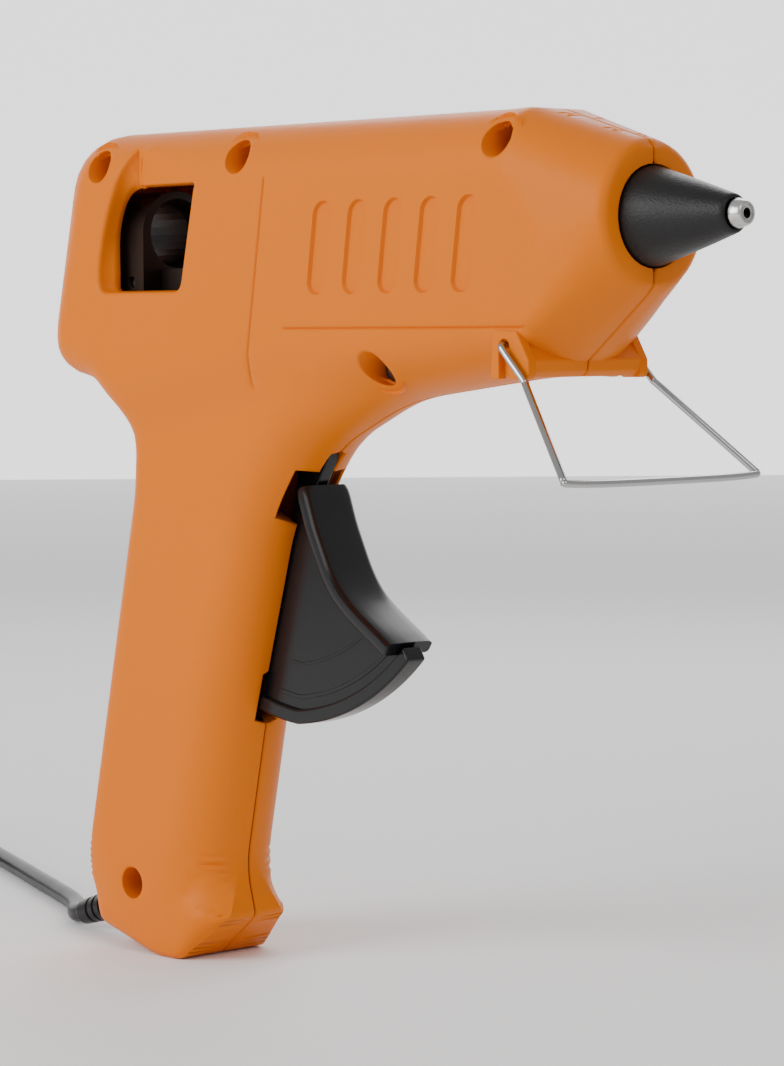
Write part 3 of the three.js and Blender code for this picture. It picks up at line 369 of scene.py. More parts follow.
# Corners [x, z, ease, edge radius] of the whole silhouette, clockwise from the top rear.
SILHOUETTE = eased([
    (-91.6, BARREL_TOP, 14, 11.5),
    (NOSE_START, BARREL_TOP, 3, 12),
    (69.9, 172.2, 0, 12),
    (NOSE_X, 170.4, 0, 12),
    (NOSE_X, AXIS_Z + 9.94, 0, 12),
    (NOSE_X, AXIS_Z + 9.8, 0, 12),
    (NOSE_X, AXIS_Z + 9.3, 0, 12),
    (NOSE_X, AXIS_Z - 9.3, 0, 12),
    (NOSE_X, AXIS_Z - 9.8, 0, 12),
    (NOSE_X, AXIS_Z - 9.94, 0, 12),
    (NOSE_X, 144.6, 0, 12),
    (69.9, 142.8, 0, 12),
    (51.0, 127.4, 3, 12),
    (44, 126.9, 3, 12),
    (4, 121.6, 8, 13),
    (-18, 111.5, 8, 13),
    (-29, 96, 7, 12.9),
    (-41.4, 53, 2, 12.9),
    (-48.4, 20, 5, 12.9),
    (-45.6, 9.8, 1.2, 7),
    (-57.2, 0, 1.5, 2.2),
    (-65.5, 0, 1.5, 2.0),
    (-86, 5, 1.5, 3.0),
    (-91.9, 17, 5, 6),
    (-73.4, 102, 4, 6),
    (-73.4, 115, 6, 6.5),
    (-84, 125.8, 4, 7),
    (-98.9, UNDERSIDE, 11, 8),
])

WINDOW = eased([
    (-77.4, 144.6, 2.2),
    (-50.4, 144.6, 2.2),
    (-45.4, 167.4, 0.8),
    (-66.9, 167.4, 0),
    (-66.9, 175.2, 0),
    (-70.3, 169.9, 3),
    (-75.3, 160.2, 5),
    (-77.6, 150.0, 3),
], step=0.7, arc_points=5)
WINDOW_FOOT = eased([
    (-75.3, 144.9, 1.4),
    (-50.7, 144.9, 1.9),
    (-46.2, 167.1, 0.3),
    (-71.3, 167.1, 5),
    (-75.3, 158.3, 4),
], step=0.3, arc_points=9)
WINDOW_DEPTH = 4.4
WINDOW_RIM = 1.1

SLOT_X = [-5.6 + 10.5 * i for i in range(5)]
SLOT_HALF = (2.7, 9.4)
SLOT_Z = 152.9
SLOT_DEPTH = 0.8

HOLES = [(-78, 171.9), (-32.1, 172.3), (43.7, 172.8), (7, 128.4), (-72.6, 15.1)]
HOLE_RADIUS = 3.5
HOLE_SIDES = 28
HOLE_SEAT = 6.1
HOLE_FLOOR = {4: 3.1}  # the grip is thinner, so its hole ends nearer the parting plane
NECK_RADIUS = 1.7
GROOVES = [((-22.6, 167.9), (-29.2, 125.5)), ((-16.9, 136.6), (52.0, 136.6))]
GROOVE_HALF = 0.36
GROOVE_DEPTH = 0.5


def slot_loop(x, grow=0.0):
    half = SLOT_HALF[0] + grow
    straight = SLOT_HALF[1] - SLOT_HALF[0]
    local = [(half * math.cos(t), straight + half * math.sin(t))
             for t in np.linspace(0, math.pi, 15)]
    local += [(-half, w) for w in np.linspace(straight, -straight, 18)[1:-1]]
    local += [(-u, -w) for u, w in local]
    return np.array([(x + u + LEAN * w, SLOT_Z + w) for u, w in local])


def slot_distance(points, x):
    """How far outside a slot's edge each point is, negative inside."""
    w = points[:, 1] - SLOT_Z
    u = points[:, 0] - x - LEAN * w
    over = np.maximum(0, np.abs(w) - (SLOT_HALF[1] - SLOT_HALF[0]))
    return np.hypot(u, over) - SLOT_HALF[0]


def nose_hull():
    """The nose as a convex solid: the flat sides, the rounded end section and the front disc."""
    work = bmesh.new()

    def put(x, y, z):
        work.verts.new((x, y, z))
        work.verts.new((x, -y, z))

    flat_edge = [(45.3, 168.2), (50.2, 162.7), (55.2, 156.5), (56.8, 151.5), (54.6, 143.6),
                 (51.9, 135.1)]
    for x, z in [(30, 167.2), (30, 133)] + flat_edge:
        put(x, BARREL_HALF, z)
    for turn in np.linspace(0, math.pi / 2, 9):
        y, z = 12 * math.cos(turn), 12 * math.sin(turn)
        put(30, BARREL_HALF - 12 + y, BARREL_TOP - 12 + z)
        put(46, BARREL_HALF - 12.3 + y, BARREL_TOP - 12 + z)
    for turn in np.linspace(0, math.pi / 2, 9):
        y, z = 12 * math.cos(turn), 12 * math.sin(turn)
        put(30, BARREL_HALF - 12 + y, UNDERSIDE + 12 - z)
        put(50.4, BARREL_HALF - 12.6 + y, UNDERSIDE + 12.6 - z)
    for turn in np.linspace(-math.pi / 2, math.pi / 2, 33):
        put(69.6, 14.7 * math.cos(turn), AXIS_Z + 14.7 * math.sin(turn))
        put(70.7, 14.2 * math.cos(turn), AXIS_Z + 14.2 * math.sin(turn))
        put(71.5, 12.9 * math.cos(turn), AXIS_Z + 12.9 * math.sin(turn))
    bmesh.ops.convex_hull(work, input=work.verts)
    return BVHTree.FromBMesh(work)


def edge_radii(loop):
    """The edge radius along the silhouette, eased from corner to corner."""
    radii = loop[:, 2].copy()
    for _ in range(12):
        radii = (np.roll(radii, 1) + radii + np.roll(radii, -1)) / 3
    return radii


RADII = edge_radii(SILHOUETTE)


def half_width(points):
    """The side plane: the barrel's, easing in to the grip's below a line that rises forwards."""
    x, z = points[:, 0], points[:, 1]
    start = 112.5 + 0.16 * np.clip(x + 73, 0, 60)
    return GRIP_HALF + (BARREL_HALF - GRIP_HALF) * smooth_step((z - start) / 13)


def heights(points, nose, side):
    """Y of the outside, on the positive side, at points in the side view."""
    d, where = distance(points, SILHOUETTE)
    k = where.astype(int) % len(RADII)
    part = where - where.astype(int)
    radius = RADII[k] * (1 - part) + np.roll(RADII, -1)[k] * part
    width = half_width(points)
    radius = np.minimum(radius, width - 0.1)
    y = width - radius + radius * round_off(d / radius)
    # the heel facet below the side plane
    heel = (points[:, 0] + 73.7) * 0.734 + (points[:, 1] - 9.7) * 0.679
    y -= np.where(points[:, 1] < 30, np.clip(-heel, 0, 30) * 0.05, 0)
    # nose
    for i in np.nonzero(points[:, 0] > 38)[0]:
        x, z = points[i]
        for step in range(3, 12):
            inward_z = AXIS_Z + (z - AXIS_Z) * (1 - 0.004 * step)
            start = Vector((min(x, NOSE_X - 0.03) - 0.04 * step, 40, inward_z))
            hit = nose.ray_cast(start, Vector((0, -1, 0)))[0]
            if hit is not None:
                break
        if hit is not None:
            blend = smooth_step((x - 38) / 7)
            y[i] = y[i] * (1 - blend) + hit.y * blend
    # scoop above the window
    floor = 13.5 + 2.9 * (points[:, 0] + 66.9) / 24.5
    in_scoop = (points[:, 0] > -66.95) & (points[:, 0] < -42.4) & (points[:, 1] > 166.5)
    y = np.where(in_scoop, np.minimum(y, floor), y)
    # soft rim round the window
    rim, _ = distance(points, WINDOW)
    y -= np.where(in_scoop, 0.4, 1.0) * WINDOW_RIM * (1 - round_off(rim / WINDOW_RIM))
    # blind slots
    for x in SLOT_X:
        gap = slot_distance(points, x)
        y -= SLOT_DEPTH * smooth_step((0.12 - gap) / 0.4)
    # fine grooves
    for a, b in GROOVES:
        gap, _ = distance(points, np.array([a, b], float), closed=False)
        y -= GROOVE_DEPTH * smooth_step((GROOVE_HALF - gap) / GROOVE_HALF)
    # a small rim on the screw holes
    if side < 0:
        for x, z in HOLES:
            gap = np.hypot(points[:, 0] - x, points[:, 1] - z) - HOLE_RADIUS
            y -= 0.35 * (1 - round_off(gap / 0.35))
    return y


BOOT_START = np.array([-82.6, 9.8])
BOOT_END = np.array([-105.6, 3.2])
BOOT_OPENING = 3.8
MOUTH_RADIUS = 9.95
STICK_OPENING = 6.6
LENS_HALF = (5.2, 3.6)
LENS_Z = 110


def opening_half(x, z):
    """How far from the parting plane the shell's edge starts at a point of the silhouette."""
    open_to = PARTING
    on_front = z > 12 and x > -60 and z < 122
    if on_front and 51.9 < z < 62.6:
        open_to = 3.0
    elif on_front and 62.6 <= z < 108 and x < 2:
        open_to = 6.8 if 95.5 < z < 106 else 1.9
    if on_front and 108 <= z < 110.4 and x < -10:
        open_to = 1.9
    if x > 69:
        open_to = max(open_to, math.sqrt(max(0, MOUTH_RADIUS ** 2 - (z - AXIS_Z) ** 2)))
    if x < -88 and z > 130:
        open_to = max(open_to, math.sqrt(max(0, STICK_OPENING ** 2 - (z - AXIS_Z) ** 2)))
    if x < -60 and 100 < z < 118:
        across = 1 - ((z - LENS_Z) / LENS_HALF[1]) ** 2
        open_to = max(open_to, LENS_HALF[0] * math.sqrt(max(0, across)))
    if x < -80 and z < 20:
        axis = (BOOT_END - BOOT_START) / np.linalg.norm(BOOT_END - BOOT_START)
        offset = np.array([x, z]) - BOOT_START
        miss = abs(offset[0] * axis[1] - offset[1] * axis[0])
        open_to = max(open_to, math.sqrt(max(0, BOOT_OPENING ** 2 - miss ** 2)))
    return open_to


def inward(loop):
    """Unit normals that point into a clockwise or counter-clockwise loop."""
    ahead = np.roll(loop[:, :2], -1, axis=0) - np.roll(loop[:, :2], 1, axis=0)
    ahead /= np.linalg.norm(ahead, axis=1)[:, None]
    normal = np.stack([ahead[:, 1], -ahead[:, 0]], axis=1)
    probe = loop[:, :2] + 0.05 * normal
    if inside(probe, loop).mean() < 0.5:
        normal = -normal
    return normal


def cut_edge():
    """The silhouette with its edge drawn in where the trigger's openings cut the round front."""
    pull = []
    for (x, z, radius), height in zip(np.c_[SILHOUETTE[:, :2], RADII], half_width(SILHOUETTE)):
        radius = min(radius, height - 0.1)
        need = opening_half(x, z) + 0.35 - (height - radius)
        if need > 0 and 50 < z < 112 and x < 10:
            pull.append(radius * (1 - math.sqrt(1 - min(need / radius, 0.99) ** 2)))
        else:
            pull.append(0)
    return SILHOUETTE[:, :2] + inward(SILHOUETTE) * np.array(pull)[:, None]


def circle(x, z, radius):
    turn = np.linspace(0, 2 * math.pi, HOLE_SIDES, endpoint=False)
    return np.stack([x + radius * np.cos(turn), z + radius * np.sin(turn)], axis=1)


GRID_STEP = 1.9
CELL = 1.2


def shell_plan(side):
    """Free points over the side view, and its closed cut lines: the outline first."""
    loops = [cut_edge(), WINDOW[:, :2]]
    if side < 0:
        loops += [circle(x, z, HOLE_RADIUS) for x, z in HOLES]
    free = []
    normal = inward(SILHOUETTE)
    for share in (0.015, 0.06, 0.13, 0.23, 0.36, 0.52, 0.72, 1.0):
        ring = SILHOUETTE[:, :2] + normal * (RADII * share)[:, None]
        reach, _ = distance(ring, SILHOUETTE)
        keep = (reach > 0.9 * RADII * share) & inside(ring, SILHOUETTE)
        for a, b in GROOVES:
            keep &= distance(ring, np.array([a, b], float), closed=False)[0] > 0.9
        free.append(ring[keep])
    out = -inward(WINDOW)
    for gap in (0.12, 0.35, 0.7, 1.15):
        free.append(WINDOW[:, :2] + out * gap)
    for x in SLOT_X:
        for grow in (-0.55, -0.28, -0.08, 0.12, 0.35):
            free.append(slot_loop(x, grow))
    for a, b in GROOVES:
        a, b = np.array(a), np.array(b)
        along = (b - a) / np.linalg.norm(b - a)
        across = np.array([-along[1], along[0]])
        count = int(np.linalg.norm(b - a) / 0.9)
        for offset in (-0.45, -0.22, 0, 0.22, 0.45):
            for t in np.linspace(-0.4 / 50, 1, count):
                free.append((a + (b - a) * t + across * offset)[None])
    if side < 0:
        for x, z in HOLES:
            free += [circle(x, z, HOLE_RADIUS + gap) for gap in (0.12, 0.4, 1.0)]
    free.append(np.array([(x, z) for x in (-66.95, -66.75) for z in np.linspace(167.8, 177.5, 14)]))
    free.append(np.array([(x, 167.55) for x in np.linspace(-66, -46, 18)]))
    free = np.concatenate(free)
    grid = np.stack(np.meshgrid(np.arange(-100, 73, GRID_STEP), np.arange(0, 181, GRID_STEP)), -1)
    grid = grid.reshape(-1, 2)
    grid[:, 0] += GRID_STEP / 2 * (np.round(grid[:, 1] / GRID_STEP) % 2)
    near = np.concatenate([free] + loops)
    cells = {}
    for p in near:
        cells.setdefault((int(p[0] // CELL), int(p[1] // CELL)), []).append(p)

    def crowded(p, limit):
        cx, cz = int(p[0] // CELL), int(p[1] // CELL)
        return any((q[0] - p[0]) ** 2 + (q[1] - p[1]) ** 2 < limit
                   for i in (-1, 0, 1) for j in (-1, 0, 1) for q in cells.get((cx + i, cz + j), ()))

    grid = np.array([p for p in grid if not crowded(p, 1.0)])
    free = np.concatenate([free, grid])
    keep = inside(free, loops[0])
    for loop in loops:
        reach, _ = distance(free, loop)
        keep &= reach > 0.05
    for loop in loops[1:]:
        keep &= ~inside(free, loop)
    return free[keep], loops


def triangulate(free, loops):
    points, edges = [], []
    for loop in loops:
        base = len(points)
        points += [tuple(p) for p in loop]
        edges += [(base + i, base + (i + 1) % len(loop)) for i in range(len(loop))]
    points += [tuple(p) for p in free]
    made = delaunay_2d_cdt([Vector(p) for p in points], edges, [], 0, 1e-4)
    flat = np.array([tuple(v) for v in made[0]])
    faces = np.array([tuple(f) for f in made[2]])
    middle = flat[faces].mean(axis=1)
    keep = inside(middle, loops[0])
    for loop in loops[1:]:
        keep &= ~inside(middle, loop)
    origin = {}
    for index, sources in enumerate(made[3]):
        for source in sources:
            origin[source] = index
    return flat, faces[keep], origin


def relax(y, flat, faces, fixed):
    """Even out the heel, where several edges meet."""
    ease = np.clip((24 - flat[:, 1]) / 8, 0, 1) * 0.7
    ease[list(fixed)] = 0
    edges = np.concatenate([faces[:, [0, 1]], faces[:, [1, 2]], faces[:, [2, 0]]])
    edges = np.unique(np.sort(edges, axis=1), axis=0)
    for _ in range(10):
        total, count = np.zeros(len(y)), np.zeros(len(y))
        for a, b in ((0, 1), (1, 0)):
            np.add.at(total, edges[:, a], y[edges[:, b]])
            np.add.at(count, edges[:, a], 1)
        y = y + ease * (total / np.maximum(count, 1) - y)
    return y


def make_shell(name, side):
    free, loops = shell_plan(side)
    flat, faces, origin = triangulate(free, loops)
    nose = nose_hull()
    y = heights(flat, nose, side)
    inner_start = len(loops[0])
    fixed = {origin[i] for i in range(inner_start, sum(len(loop) for loop in loops))}
    y = relax(y, flat, faces, fixed)
    rows = [[x, height, z] for (x, z), height in zip(flat, y)]
    polygons = [list(f) for f in faces]

    def strip(upper, lower):
        for i in range(len(upper)):
            j = (i + 1) % len(upper)
            polygons.append([upper[i], upper[j], lower[j], lower[i]])

    def add_ring(points, levels):
        base = len(rows)
        rows.extend([p[0], level, p[1]] for p, level in zip(points, levels))
        return list(range(base, base + len(points)))

    start = 0
    firsts = []
    for loop in loops:
        firsts.append([origin[start + i] for i in range(len(loop))])
        start += len(loop)
    # silhouette: down to the parting plane, with a fine chamfer, or into an opening
    normal = inward(SILHOUETTE)
    edge = loops[0]
    limit = np.array([opening_half(x, z) for x, z in SILHOUETTE[:, :2]])
    for i, index in enumerate(firsts[0]):
        rows[index][1] = max(rows[index][1], limit[i] + 0.45)
        if edge[i][0] > NOSE_X - 0.05:
            rows[index][1] = math.sqrt(max(0.4, 12.9 ** 2 - (edge[i][1] - AXIS_Z) ** 2))
            rows[index][1] = max(rows[index][1], limit[i] + 0.3)
    shut = limit < 0.2
    second = add_ring(edge, limit + 0.3)
    third = add_ring(edge + normal * np.where(shut, 0.3, 0.25)[:, None], limit)
    fourth = add_ring(edge + normal * np.where(shut, 1.2, 6.0)[:, None], limit)
    strip(firsts[0], second)
    strip(second, third)
    strip(third, fourth)
    # window walls, with a little draft
    floor = BARREL_HALF - WINDOW_DEPTH
    top = [rows[i][1] for i in firsts[1]]
    gap = np.linalg.norm(WINDOW[:, None, :2] - WINDOW_FOOT[None, :, :2], axis=2)
    target = WINDOW_FOOT[gap.argmin(1), :2]
    before = firsts[1]
    for share in (0.3, 0.65, 1):
        level = np.array(top) * (1 - share) + floor * share
        lean = share ** 1.5
        ring = add_ring(WINDOW[:, :2] * (1 - lean) + target * lean, level)
        strip(before, ring)
        before = ring
    # screw holes
    for number, ring in enumerate(firsts[2:]):
        x, z = HOLES[number]
        seat = HOLE_FLOOR.get(number, HOLE_SEAT)
        deep = add_ring(circle(x, z, HOLE_RADIUS - 0.12), np.full(HOLE_SIDES, seat))
        neck = add_ring(circle(x, z, NECK_RADIUS), np.full(HOLE_SIDES, seat))
        strip(ring, deep)
        strip(deep, neck)
    verts = [at(x, side * level, z) for x, level, z in rows]
    piece = link_shell(name, verts, polygons)
    solid = piece.modifiers.new("wall", "SOLIDIFY")
    solid.thickness = WALL * MM
    solid.offset = -1
    return piece


right = make_shell("right_housing", -1)
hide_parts("right_shell")
left = make_shell("left_housing", 1)
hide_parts("left_shell")

# ------------------------------------------------------------ makers of the smaller pieces


def finish_piece(name, work, look, body, replaced=(), sharp=50):
    """A finished object from a bmesh in gun millimetres."""
    for vert in work.verts:
        vert.co = at(*vert.co)
    bmesh.ops.recalc_face_normals(work, faces=work.faces)
    mesh = bpy.data.meshes.new(name)
    for face in work.faces:
        face.smooth = True
    for edge in work.edges:
        edge.smooth = len(edge.link_faces) == 2 and edge.calc_face_angle(0) < math.radians(sharp)
    work.to_mesh(mesh)
    work.free()
    mesh.materials.append(LOOKS[look])
    piece = bpy.data.objects.new(name, mesh)
    bpy.context.collection.objects.link(piece)
    even = piece.modifiers.new("even", "WEIGHTED_NORMAL")
    even.keep_sharp = True
    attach(piece, body)
    if replaced:
        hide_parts(*replaced)
    return piece


def add_loft(work, rings, looped=False):
    """Skin a list of closed rings of points, with flat ends unless the list runs in a loop."""
    made = [[work.verts.new(p) for p in ring] for ring in rings]
    pairs = list(zip(made, made[1:])) + ([(made[-1], made[0])] if looped else [])
    for first, second in pairs:
        for i in range(len(first)):
            j = (i + 1) % len(first)
            work.faces.new((first[i], first[j], second[j], second[i]))
    if not looped:
        work.faces.new(made[0][::-1])
        work.faces.new(made[-1])


def add_turned(work, profile, start, axis, segments):
    """A closed profile of [distance along, radius] turned about an axis."""
    axis = Vector(axis).normalized()
    side = axis.cross(Vector((0, 1, 0)))
    side = side.normalized() if side.length > 0.1 else Vector((0, 0, 1))
    other = axis.cross(side)
    rings = []
    for along, radius in profile:
        centre = Vector(start) + axis * along
        rings.append([centre + (side * math.cos(t) + other * math.sin(t)) * radius
                      for t in np.linspace(0, 2 * math.pi, segments, endpoint=False)])
    add_loft(work, rings, looped=True)


def add_slab(work, corners, y0, y1, bevel, segments=3):
    """A flat shape in the side view, with rounded edges."""
    part = bmesh.new()
    near = [part.verts.new((x, y0, z)) for x, z in corners]
    far = [part.verts.new((x, y1, z)) for x, z in corners]
    part.faces.new(near)
    part.faces.new(far[::-1])
    count = len(corners)
    for i in range(count):
        j = (i + 1) % count
        part.faces.new((near[i], far[i], far[j], near[j]))
    bmesh.ops.recalc_face_normals(part, faces=part.faces)
    edges = [e for e in part.edges if e.calc_face_angle(0) > 0.6]
    bmesh.ops.bevel(part, geom=edges, offset=bevel, segments=segments, affect="EDGES",
                    profile=0.5, clamp_overlap=True)
    append(work, part)


def append(work, part):
    mesh = bpy.data.meshes.new("part")
    part.to_mesh(mesh)
    part.free()
    work.from_mesh(mesh)
    bpy.data.meshes.remove(mesh)


def smooth_path(points, per_span):
    """Catmull-Rom through the points."""
    points = [Vector(p) for p in points]
    ends = [points[0] * 2 - points[1]] + points + [points[-1] * 2 - points[-2]]
    path = []
    for i in range(len(points) - 1):
        a, b, c, d = ends[i:i + 4]
        for k in range(per_span):
            t = k / per_span
            path.append(0.5 * (2 * b + (c - a) * t + (2 * a - 5 * b + 4 * c - d) * t * t
                               + (3 * b - a - 3 * c + d) * t ** 3))
    return path + [points[-1]]


TUBE_SIDES = 14


def add_tube(work, path, radius):
    """A round bar along a path, its ends a little domed."""
    rings = []
    ahead = (path[1] - path[0]).normalized()
    side = ahead.orthogonal().normalized()
    count = len(path)
    for i, point in enumerate(path):
        turn = (path[min(i + 1, count - 1)] - path[max(i - 1, 0)]).normalized()
        side = (side - turn * side.dot(turn)).normalized()
        other = turn.cross(side)
        grown = radius * (0.75 if i in (0, count - 1) else 1)
        rings.append([point + (side * math.cos(t) + other * math.sin(t)) * grown
                      for t in np.linspace(0, 2 * math.pi, TUBE_SIDES, endpoint=False)])
    add_loft(work, rings)


# ------------------------------------------------------------ nozzle and its cover

COVER_END = NOSE_X + 20.3
NOZZLE_END = NOSE_X + 23.2


def make_cover():
    end = COVER_END
    work = bmesh.new()
    add_turned(work, [
        (67.3, 5.4), (67.3, 10.8), (67.5, 11.0), (68.8, 11.0), (69.0, 10.8), (69.05, 9.75),
        (69.3, 9.62), (71.5, 9.6), (72.0, 9.5), (78, 7.77), (85, 5.75), (end - 1.0, 3.96),
        (end - 0.45, 3.78), (end - 0.12, 3.55), (end, 3.3), (end - 0.05, 3.0), (end - 0.5, 2.75),
        (71.5, 5.6),
    ], (0, 0, AXIS_Z), (1, 0, 0), 96)
    finish_piece("cone", work, "satin_black", "housing", ["nozzle_cover"])


def make_nozzle():
    end = COVER_END
    tip = NOZZLE_END
    work = bmesh.new()
    add_turned(work, [
        (50.5, 2.1), (50.5, 4), (56.9, 4), (56.9, 6.2), (57.2, 6.4), (60.6, 6.4), (60.8, 6.2),
        (60.9, 5.2), (71.4, 5.2), (end + 0.2, 2.25), (end + 0.35, 2.3), (end + 0.45, 2.82),
        (end + 0.6, 2.9), (tip - 0.95, 2.5), (tip - 0.7, 2.42), (tip - 0.25, 2.3),
        (tip - 0.06, 2.15), (tip, 1.95), (tip - 0.02, 1.72), (tip - 0.3, 1.62),
        (tip - 0.34, 1.3), (tip - 0.12, 1.2),
        (tip - 0.15, 1.02), (tip - 0.4, 0.95), (tip - 9, 0.95), (tip - 11, 2.05),
    ], (0, 0, AXIS_Z), (1, 0, 0), 72)
    finish_piece("brass_free_tip", work, "turned_metal", "housing", ["nozzle"])


make_cover()
make_nozzle()

# ------------------------------------------------------------ wire stand and its pads

WIRE_RADIUS = 0.74


def make_stand():
    half = [
        (47.6, 13.9, 133.2), (47.6, 16.35, 133.2), (47.9, 17.7, 132.9), (49.1, 17.95, 131.6),
        (54.3, 17.95, 126.2), (56, 18.75, 124.5), (72.0, 26.4, 109.4), (73.35, 26.9, 108.05),
        (73.8, 25.7, 107.6), (74.1, 13.85, 107.3),
    ]
    other = [(x, -y, z) for x, y, z in half][::-1]
    work = bmesh.new()
    add_tube(work, smooth_path(half + other, 6), WIRE_RADIUS)
    finish_piece("wire", work, "bright_wire", "stand", ["wire_stand"], 80)


def make_pads():
    for side, name in ((-1, "right"), (1, "left")):
        work = bmesh.new()
        add_slab(work, [(44.4, 127.4), (52.6, 126.9), (53.9, 128.0), (54.2, 130.3), (50.6, 134.6),
                        (44.4, 134.6)], side * 0.15, side * 15.3, 0.35)
        slot_top = [(47.6 + 1.35 * math.cos(t), 133.0 + 1.35 * math.sin(t))
                    for t in np.linspace(math.pi, 0, 9)]
        add_slab(work, [(44.0, 126.7), (46.25, 126.6)] + slot_top
                 + [(48.95, 126.6), (53.6, 126.6), (54.3, 127.4), (54.2, 130.2), (50.9, 135.9),
                    (44.6, 136.1)], side * 14.6, side * 16.85, 0.3)
        finish_piece(f"{name}_stand_pad", work, "orange", "housing")


def make_screws():
    for number, (x, z) in enumerate(HOLES):
        seat = HOLE_FLOOR.get(number, HOLE_SEAT)
        work = bmesh.new()
        add_turned(work, [
            (0, 0.02), (0, 0.9), (-0.5, 1.38), (-1.5 - seat, 1.4), (-seat + 0.02, 1.4),
            (-seat + 0.02, 1.7),
            (-seat - 0.02, 2.7), (-seat - 0.3, 2.8), (-seat - 1.1, 2.75), (-seat - 1.7, 2.2),
            (-seat - 2.0, 1.3), (-seat - 1.9, 0.9), (-seat - 0.9, 0.35), (-seat - 0.8, 0.02),
        ], (x, 0, z), (0, 1, 0), 40)
        # the screw heads carry painted shade: a near-black brown colour that darkens the screw
        # holes
        finish_piece(f"housing_screw_deep_{number + 1}", work, "screw_painted_shade", "housing",
                     [f"housing_screw_{number + 1}"])


def make_trigger_pin():
    work = bmesh.new()
    add_turned(work, [
        (-8.4, 0.02), (-8.4, 1.7), (-8.1, 1.98), (8.1, 1.98), (8.4, 1.7), (8.4, 0.02),
    ], (PIVOT_X, 0, PIVOT_Z), (0, 1, 0), 40)
    finish_piece("axle", work, "steel", "housing", ["trigger_pin"])


make_stand()
make_pads()
make_screws()
make_trigger_pin()

# ------------------------------------------------------------ trigger

PLATE_CURVE = [(2.1, -9.2), (6.2, -19.6), (13.2, -31), (27.4, -40.9)]
PLATE_THICK = 3.2
PLATE_HALF = 6.6


def polar(radius, degrees):
    angle = math.radians(degrees)
    return (PIVOT_X + radius * math.sin(angle), PIVOT_Z - radius * math.cos(angle))


def plate_line(offset):
    path = smooth_path([(x, 0, z) for x, z in PLATE_CURVE], 9)
    line = []
    for i, point in enumerate(path):
        along = (path[min(i + 1, len(path) - 1)] - path[max(i - 1, 0)]).normalized()
        line.append((PIVOT_X + point.x + offset * along.z, PIVOT_Z + point.z - offset * along.x))
    return line


def rim_radius(degrees):
    return 60.55 - max(0, degrees + 5) * 0.19


def make_trigger():
    work = bmesh.new()
    # finger plate: a crowned front, rolled edges and a lip at the foot
    section = [(0.0, 0.0), (0.0, 0.3), (0.06, 0.55), (0.1, 0.78), (0.3, 0.9), (0.75, 1.0),
               (1.4, 1.0), (2.5, 1.0), (2.95, 0.96), (3.15, 0.86), (3.2, 0.5)]
    section += [(depth, -share) for depth, share in section[:0:-1]]
    front, rings = plate_line(0), []
    back = plate_line(1.0)
    count = len(front)
    for i, (a, b) in enumerate(zip(front, back)):
        near_end = min(i, count - 1 - i)
        shrink = (0.86, 0.97, 1.0)[min(near_end, 2)] if i < count - 3 else 1.0
        ring = []
        for depth, share in section:
            depth = 1.6 + (depth - 1.6) * shrink
            x = a[0] + (b[0] - a[0]) * depth
            z = a[1] + (b[1] - a[1]) * depth
            ring.append((x, share * PLATE_HALF * (1 - (1 - shrink) * 0.5), z))
        rings.append(ring)
    add_loft(work, rings)
    # blade, with its pointed top that goes into the slot
    rim = [polar(rim_radius(d), d) for d in range(-17, 34, 2)]
    rear = plate_line(PLATE_THICK / 2)
    top = [(PIVOT_X + 4.1, PIVOT_Z - 4.1), polar(5, 60), polar(5, 90), polar(5, 130), polar(5, 180),
           polar(5, 230), polar(5, -60)]
    add_slab(work, rim + rear[::-1] + top, -1.5, 1.5, 0.3, 2)
    # rim, and faint moulding arcs above it
    for low, high, half, bevel, degrees in ((0, 3.2, 2.6, 0.55, (-17, 33.5)),
                                            (5.4, 6.3, 1.66, 0.12, (-12, 29)),
                                            (12.6, 13.3, 1.64, 0.12, (-9, 24))):
        angles = np.linspace(*degrees, 26)
        band = [polar(rim_radius(d) - low, d) for d in angles]
        band += [polar(rim_radius(d) - high, d) for d in angles[::-1]]
        add_slab(work, band, -half, half, bevel)
    # arm up to the drive pin
    x, z = polar(-36, 46.1)
    along = Vector((x - PIVOT_X, z - PIVOT_Z)).normalized()
    across = Vector((-along.y, along.x)) * 3.4
    add_slab(work, [
        (PIVOT_X + across.x, PIVOT_Z + across.y), (PIVOT_X - across.x, PIVOT_Z - across.y),
        (x - 0.8 * across.x, z - 0.8 * across.y), (x + 0.8 * across.x, z + 0.8 * across.y),
    ], -1.45, 1.45, 0.3, 2)
    finish_piece("trigger_blade", work, "gloss_black", "trigger", ["trigger"])


make_trigger()

# ------------------------------------------------------------ cord, strain relief and plug

CORD_RADIUS = 2.15
ROUTE = [
    (-78.2, 0, 11.06), (-86, 0, 8.82), (-94, 0, 6.53), (-101, 0, 4.52), (-105.8, 0, 3.2),
    (-110, 1.2, 2.5), (-115, 5, 2.3), (-121, 9.2, 2.3), (-136, 16.4, 2.3), (-153, 23.6, 2.3),
    (-172, 31.8, 2.3), (-190, 39.4, 2.3), (-203, 44.9, 2.3), (-216, 50.2, 2.3),
    (-225, 53.1, 2.3), (-231.3, 54.8, 2.3),
]
COIL_CENTRE = (-250, 23.7)
COIL_INNER = 18.4
COIL_PITCH = 4.34
COIL_LAYERS = (2.3, 6.6)
COIL_STEP = 15


